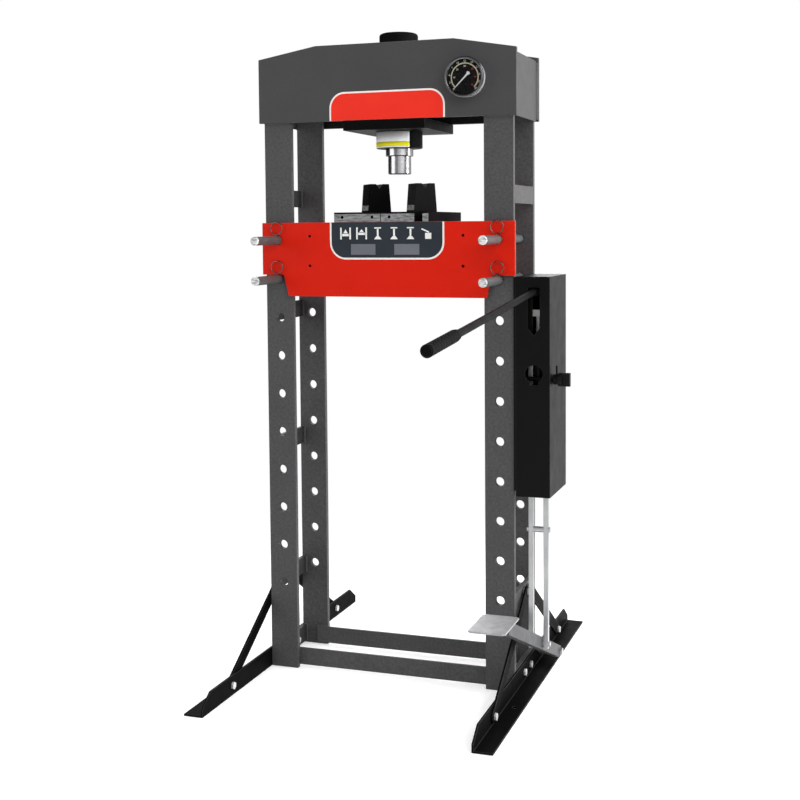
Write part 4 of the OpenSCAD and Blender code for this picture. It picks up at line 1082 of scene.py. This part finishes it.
@dataclass
class Bed:
    """Bed plates, webs, pins, press plates and V-blocks."""

    shop: Shop
    edge: float = 0.0012
    block_edge: float = 0.0015
    panel_x: Flat = (-0.1475, 0.1575)
    panel_drop: float = 0.0005
    panel_height: float = 0.094
    panel_corner: float = 0.043
    border: float = 0.0046
    sheet: float = 0.0004
    grey_lefts: Flat = (0.0575, 0.174)
    grey_width: float = 0.066
    grey_heights: Flat = (0.012, 0.039)
    grey_corner: float = 0.0005
    symbol_start: Flat = (0.043, 0.028)
    symbol_pitch: float = 0.0435

    def build(self) -> None:
        """Dresses the bed and adds its panel."""
        colours, dress = self.shop.palette, self.shop.dress
        dress("bed_front_plate", colours.red_grey_end, colours.red_edge, self.edge)
        dress(("bed_rear_plate", "bed_web_left", "bed_web_right"), colours.red, colours.red_edge, self.edge)
        dress(("pin_upper_left", "pin_upper_right", "pin_lower_left", "pin_lower_right"), colours.pin_steel)
        dress("pin_clips", colours.spring)
        dress(("press_plate_left", "press_plate_right"), colours.plate_steel, None, self.edge)
        dress("v_block_left", colours.block, None, self.block_edge)
        # The right V-block takes the block steel with painted light.
        dress("v_block_right", colours.block_painted_light, None, self.block_edge)
        self._panel()

    def _panel(self) -> None:
        """Adds the dark panel with its white border, two plain grey fields and its symbols."""
        low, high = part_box("bed_front_plate")
        z1 = high[2] - self.panel_drop
        z0 = z1 - self.panel_height
        (x0, x1), line, corner = self.panel_x, self.border, self.panel_corner
        inner = corner - line
        colours = self.shop.palette
        whole = rounded(x0, x1, z0, z1, (corner, corner, 0.0, 0.0))
        field = rounded(x0 + line, x1 - line, z0 + line, z1, (inner, inner, 0.0, 0.0))
        bottom, top = self.grey_heights
        greys = [rounded(x0 + left, x0 + left + self.grey_width, z0 + bottom, z0 + top,
                         (self.grey_corner,) * 4, 2) for left in self.grey_lefts]
        symbols = self._symbols(x0 + self.symbol_start[0], z1 - self.symbol_start[1])
        for name, outlines, layer, finish, slot in (
                ("border", [whole], 1, colours.print_white, "red_paint"),
                ("field", [field], 2, colours.print_dark, "black_paint"),
                ("grey_fields", greys, 3, colours.print_grey, "black_paint"),
                ("symbols", symbols, 3, colours.needle, "needle_white")):
            self.shop.sheets(f"bed_panel_{name}", outlines, low[1] - layer * self.sheet, self.sheet,
                             finish, slot)

    def _symbols(self, x: float, z: float) -> list[list[Flat]]:
        """Draws a row of plain working symbols: stands, columns and a lever, with no words.

        Args:
            x: Middle of the first symbol.
            z: Middle of the row.

        Returns:
            The outlines of their shapes.
        """
        def bar(mx: float, mz: float, wide: float, tall: float) -> list[Flat]:
            """One upright rectangle of a symbol."""
            return rounded(mx - wide / 2, mx + wide / 2, mz - tall / 2, mz + tall / 2, (0.0,) * 4)

        shapes: list[list[Flat]] = []
        middles = [x + i * self.symbol_pitch for i in range(6)]
        for mx, lift in zip(middles[:2], (0.0, 0.003)):
            shapes += [bar(mx + side * 0.0125, z, 0.004, 0.03) for side in (-1.0, 1.0)]
            shapes.append(bar(mx, z - 0.004 + lift, 0.018, 0.006))
            foot = z + 0.0005 + lift
            shapes.append([(mx - 0.006, foot), (mx + 0.006, foot), (mx, z + 0.0105)])
        for mx in middles[2:5]:
            shapes.append(bar(mx, z + 0.0135, 0.018, 0.003))
            shapes.append(bar(mx, z + 0.002, 0.0045, 0.018))
            shapes.append([(mx - 0.01, z - 0.015), (mx + 0.01, z - 0.015), (mx + 0.004, z - 0.0075),
                           (mx - 0.004, z - 0.0075)])
        mx = middles[5]
        shapes.append(bar(mx + 0.003, z - 0.007, 0.016, 0.015))
        shapes.append([(mx - 0.015, z + 0.009), (mx - 0.0135, z + 0.012), (mx + 0.005, z + 0.004),
                       (mx + 0.005, z + 0.0005)])
        return shapes


@dataclass
class Pump:
    """Pump, cover, lever, links and pedal."""

    shop: Shop
    bracket_edge: float = 0.0008
    cover_edge: float = 0.0006
    body_edge: float = 0.0015
    bar_edge: float = 0.0007
    knob_edge: float = 0.0008
    screw_inset: float = 0.0072
    screw_sides: int = 6
    screw: tuple[Flat, ...] = ((0.0055, 0.0), (0.0055, 0.0034), (0.00484, 0.0044), (0.002475, 0.0044),
                               (0.0022, 0.0026))

    def build(self) -> None:
        """Dresses the pump side and adds its bleed screw."""
        colours, dress = self.shop.palette, self.shop.dress
        dress("pump_bracket", colours.black, colours.black_edge_highlight, self.bracket_edge)
        dress("pump_cover", colours.black, colours.black_edge_highlight, self.cover_edge)
        dress("pump_body", colours.casting, None, self.body_edge)
        dress("pump_plunger", colours.plunger_steel)
        dress(("lever_pivot", "link_top_pin", "link_bottom_pin", "link_spacer_bolt", "pedal_pivot"),
              colours.zinc)
        dress(("lever_rocker", "hand_lever"), colours.lever_black)
        dress(("link_left", "link_right"), colours.drawn_zinc, None, self.bar_edge)
        dress("pedal_arm", colours.arm_steel, None, self.bar_edge)
        dress("pedal_plate", colours.pedal_steel, None, self.bar_edge)
        dress("lever_grip", colours.rubber)
        dress("release_knob", colours.plastic, None, self.knob_edge)
        self._screw()

    def _screw(self) -> None:
        """Adds the bleed screw on the front of the valve lug."""
        low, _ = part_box("pump_body")
        knob_low, knob_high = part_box("release_knob")
        z = (knob_low[2] + knob_high[2]) / 2.0
        mesh = bmesh.new()
        place = Matrix.Translation((low[0] + self.screw_inset, low[1], z)) @ QUARTER_TURN
        self.shop.turned(mesh, self.screw, place, self.screw_sides)
        self.shop.piece("bleed_screw", mesh, self.shop.palette.zinc, "zinc")


@dataclass(frozen=True)
class Lamp:
    """One soft square lamp, and whether glossy surfaces mirror it."""

    name: str
    place: Point
    size: float
    power: float
    mirrored: bool = True


@dataclass
class Studio:
    """Floor, lamps, background and the camera at the photograph's angle."""

    place: Point = (1.1085, -3.1943, 1.1591)
    yaw: float = 0.3335
    pitch: float = 0.0632
    roll: float = -0.0079
    lens: float = 58.35
    sensor: float = 36.0
    shift: Flat = (-0.0019, -0.1128)
    sight: float = 60.0
    aim: Point = (0.0, 0.0, 0.9)
    lamps: tuple[Lamp, ...] = (
        Lamp("key_right", (2.6, -2.6, 3.0), 2.6, 80.0), Lamp("side_right", (3.4, 0.6, 1.7), 2.4, 195.0),
        Lamp("fill_left", (-3.0, -2.6, 2.0), 2.6, 34.0), Lamp("top", (0.0, 0.0, 3.8), 2.6, 40.0, False),
        Lamp("back", (-1.2, 3.4, 2.4), 2.6, 45.0),
    )
    cards: tuple[Point, ...] = (
        (-100.0, 3.4, 0.02), (-12.0, 1.6, 0.34), (83.0, 1.7, 0.04), (138.0, 3.0, 0.9),
    )
    card_away: float = 3.0
    card_heights: Flat = (0.1, 3.3)
    lid_size: float = 4.4
    lid_height: float = 3.35
    lid_tone: float = 0.04
    daylight: float = 0.42
    floor_size: float = 14.0
    floor_drop: float = 0.0008
    floor_grey: float = 0.8
    floor_rough: float = 0.9
    floor_fade: Flat = (0.7, 1.9)

    def build(self) -> None:
        """Makes the whole studio."""
        self._camera()
        self._world()
        self._floor()
        for i, card in enumerate(self.cards):
            self._card(f"studio_card_{i}", *card)
        half = self.lid_size / 2.0
        corners = [Vector((x, y, self.lid_height))
                   for x, y in ((-half, -half), (half, -half), (half, half), (-half, half))]
        self._gloss_sheet("studio_lid", corners, self.lid_tone)
        for lamp in self.lamps:
            self._lamp(lamp)
        bpy.context.scene.view_settings.view_transform = "Standard"

    def _camera(self) -> None:
        """Places the camera as the photograph's."""
        level = math.cos(self.pitch)
        ahead = Vector((-math.sin(self.yaw) * level, math.cos(self.yaw) * level, -math.sin(self.pitch)))
        right = Vector((math.cos(self.yaw), math.sin(self.yaw), 0.0))
        tilted = math.cos(self.roll) * right + math.sin(self.roll) * right.cross(ahead)
        data = bpy.data.cameras.new("studio_camera")
        data.lens = self.lens
        data.sensor_width = self.sensor
        data.shift_x, data.shift_y = self.shift
        data.clip_end = self.sight
        camera = bpy.data.objects.new("studio_camera", data)
        bpy.context.scene.collection.objects.link(camera)
        turn = Matrix((tilted, tilted.cross(ahead), -ahead)).transposed().to_4x4()
        camera.matrix_world = Matrix.Translation(self.place) @ turn
        bpy.context.scene.camera = camera

    @staticmethod
    def _seen(wiring: Wiring) -> Socket:
        """Mask of the rays that see the background: camera, gloss and glass.

        Args:
            wiring: Wiring of the tree that takes the nodes.

        Returns:
            The mask's socket.
        """
        path = wiring.node("ShaderNodeLightPath", {}).outputs
        seen = wiring.math("MAXIMUM", path["Is Camera Ray"], path["Is Glossy Ray"])
        return wiring.math("MAXIMUM", seen, path["Is Transmission Ray"])

    def _world(self) -> None:
        """White background to the eye, softer light on the object."""
        world = bpy.data.worlds.new("studio_world")
        bpy.context.scene.world = world
        world.use_nodes = True
        wiring = Wiring(world.node_tree)
        level = wiring.span(self._seen(wiring), 0.0, 1.0, self.daylight, 1.0)
        wiring.feed(world.node_tree.nodes["Background"], {"Color": (1.0, 1.0, 1.0, 1.0), "Strength": level})

    def _floor(self) -> None:
        """Pale floor that fades into the white background and keeps the shadow."""
        mesh = bmesh.new()
        bmesh.ops.create_grid(mesh, x_segments=2, y_segments=2, size=self.floor_size)
        data = bpy.data.meshes.new("studio_floor")
        mesh.to_mesh(data)
        mesh.free()
        floor = bpy.data.objects.new("studio_floor", data)
        floor.location.z = -self.floor_drop
        bpy.context.scene.collection.objects.link(floor)
        material = bpy.data.materials.new("studio_floor_white")
        material.use_nodes = True
        wiring, nodes = Wiring(material.node_tree), material.node_tree.nodes
        seen, grey = self._seen(wiring), self.floor_grey
        shader = nodes["Principled BSDF"]
        wiring.feed(shader, {"Base Color": (grey, grey, grey, 1.0), "Roughness": self.floor_rough,
                             "Specular IOR Level": 0.0})
        level = wiring.span(seen, 0.0, 1.0, 0.0, self.daylight)
        glow = wiring.node("ShaderNodeEmission", {"Strength": level})
        near = wiring.node("ShaderNodeAddShader", {0: shader.outputs["BSDF"], 1: glow.outputs["Emission"]})
        far = wiring.node("ShaderNodeEmission", {})
        away = wiring.node("ShaderNodeVectorMath", {0: wiring.place()}, operation="LENGTH")
        fade = wiring.span(away.outputs["Value"], *self.floor_fade, shape="SMOOTHSTEP")
        mix = wiring.node("ShaderNodeMixShader", {"Fac": wiring.math("MULTIPLY", fade, seen),
                                                  1: near.outputs["Shader"], 2: far.outputs["Emission"]})
        wiring.feed(nodes["Material Output"], {"Surface": mix.outputs["Shader"]})
        data.materials.append(material)

    def _card(self, name: str, turn: float, width: float, tone: float) -> None:
        """Adds one grey card that stands round the press and shows in polished metal alone.

        Args:
            name: Name of the card.
            turn: Degrees from the front towards the right.
            width: Its width in metres.
            tone: Its brightness, from 0 for black to 1 for white.
        """
        a = math.radians(turn)
        side = Vector((math.cos(a), math.sin(a), 0.0)) * (width / 2.0)
        low, high = (Vector((self.card_away * math.sin(a), -self.card_away * math.cos(a), z))
                     for z in self.card_heights)
        self._gloss_sheet(name, [low - side, low + side, high + side, high - side], tone)

    @staticmethod
    def _gloss_sheet(name: str, corners: Sequence[Vector], tone: float) -> None:
        """Adds one sheet of the studio that only glossy reflections see.

        Args:
            name: Name of the sheet.
            corners: Its corners in order.
            tone: Its brightness, from 0 for black to 1 for white.
        """
        mesh = bmesh.new()
        mesh.faces.new([mesh.verts.new(v) for v in corners])
        data = bpy.data.meshes.new(name)
        mesh.to_mesh(data)
        mesh.free()
        material = bpy.data.materials.new(name)
        material.use_nodes = True
        Wiring(material.node_tree).feed(material.node_tree.nodes["Principled BSDF"], {
            "Base Color": (0.0, 0.0, 0.0, 1.0), "Emission Color": (tone, tone, tone, 1.0),
            "Emission Strength": 1.0, "Specular IOR Level": 0.0})
        data.materials.append(material)
        card = bpy.data.objects.new(name, data)
        bpy.context.scene.collection.objects.link(card)
        card.visible_camera = False
        card.visible_diffuse = False
        card.visible_shadow = False
        card.visible_transmission = False

    def _lamp(self, lamp: Lamp) -> None:
        """Adds one soft lamp that looks at the middle of the press.

        Args:
            lamp: The lamp.
        """
        data = bpy.data.lights.new(lamp.name, "AREA")
        data.shape = "SQUARE"
        data.size = lamp.size
        data.energy = lamp.power
        light = bpy.data.objects.new(lamp.name, data)
        light.location = lamp.place
        light.visible_glossy = lamp.mirrored
        light.rotation_euler = (Vector(self.aim) - Vector(lamp.place)).to_track_quat("-Z", "Y").to_euler()
        bpy.context.scene.collection.objects.link(light)


def main() -> None:
    """Builds every sub-assembly, then the studio."""
    logging.basicConfig(level=logging.INFO, format="%(name)s: %(message)s")
    shop = Shop(Palette())
    for assembly in (WeldedFrame(shop), Head(shop), Bed(shop), Pump(shop)):
        LOG.info("building %s", type(assembly).__name__)
        assembly.build()
    Studio().build()


if __name__ == "__main__":
    main()
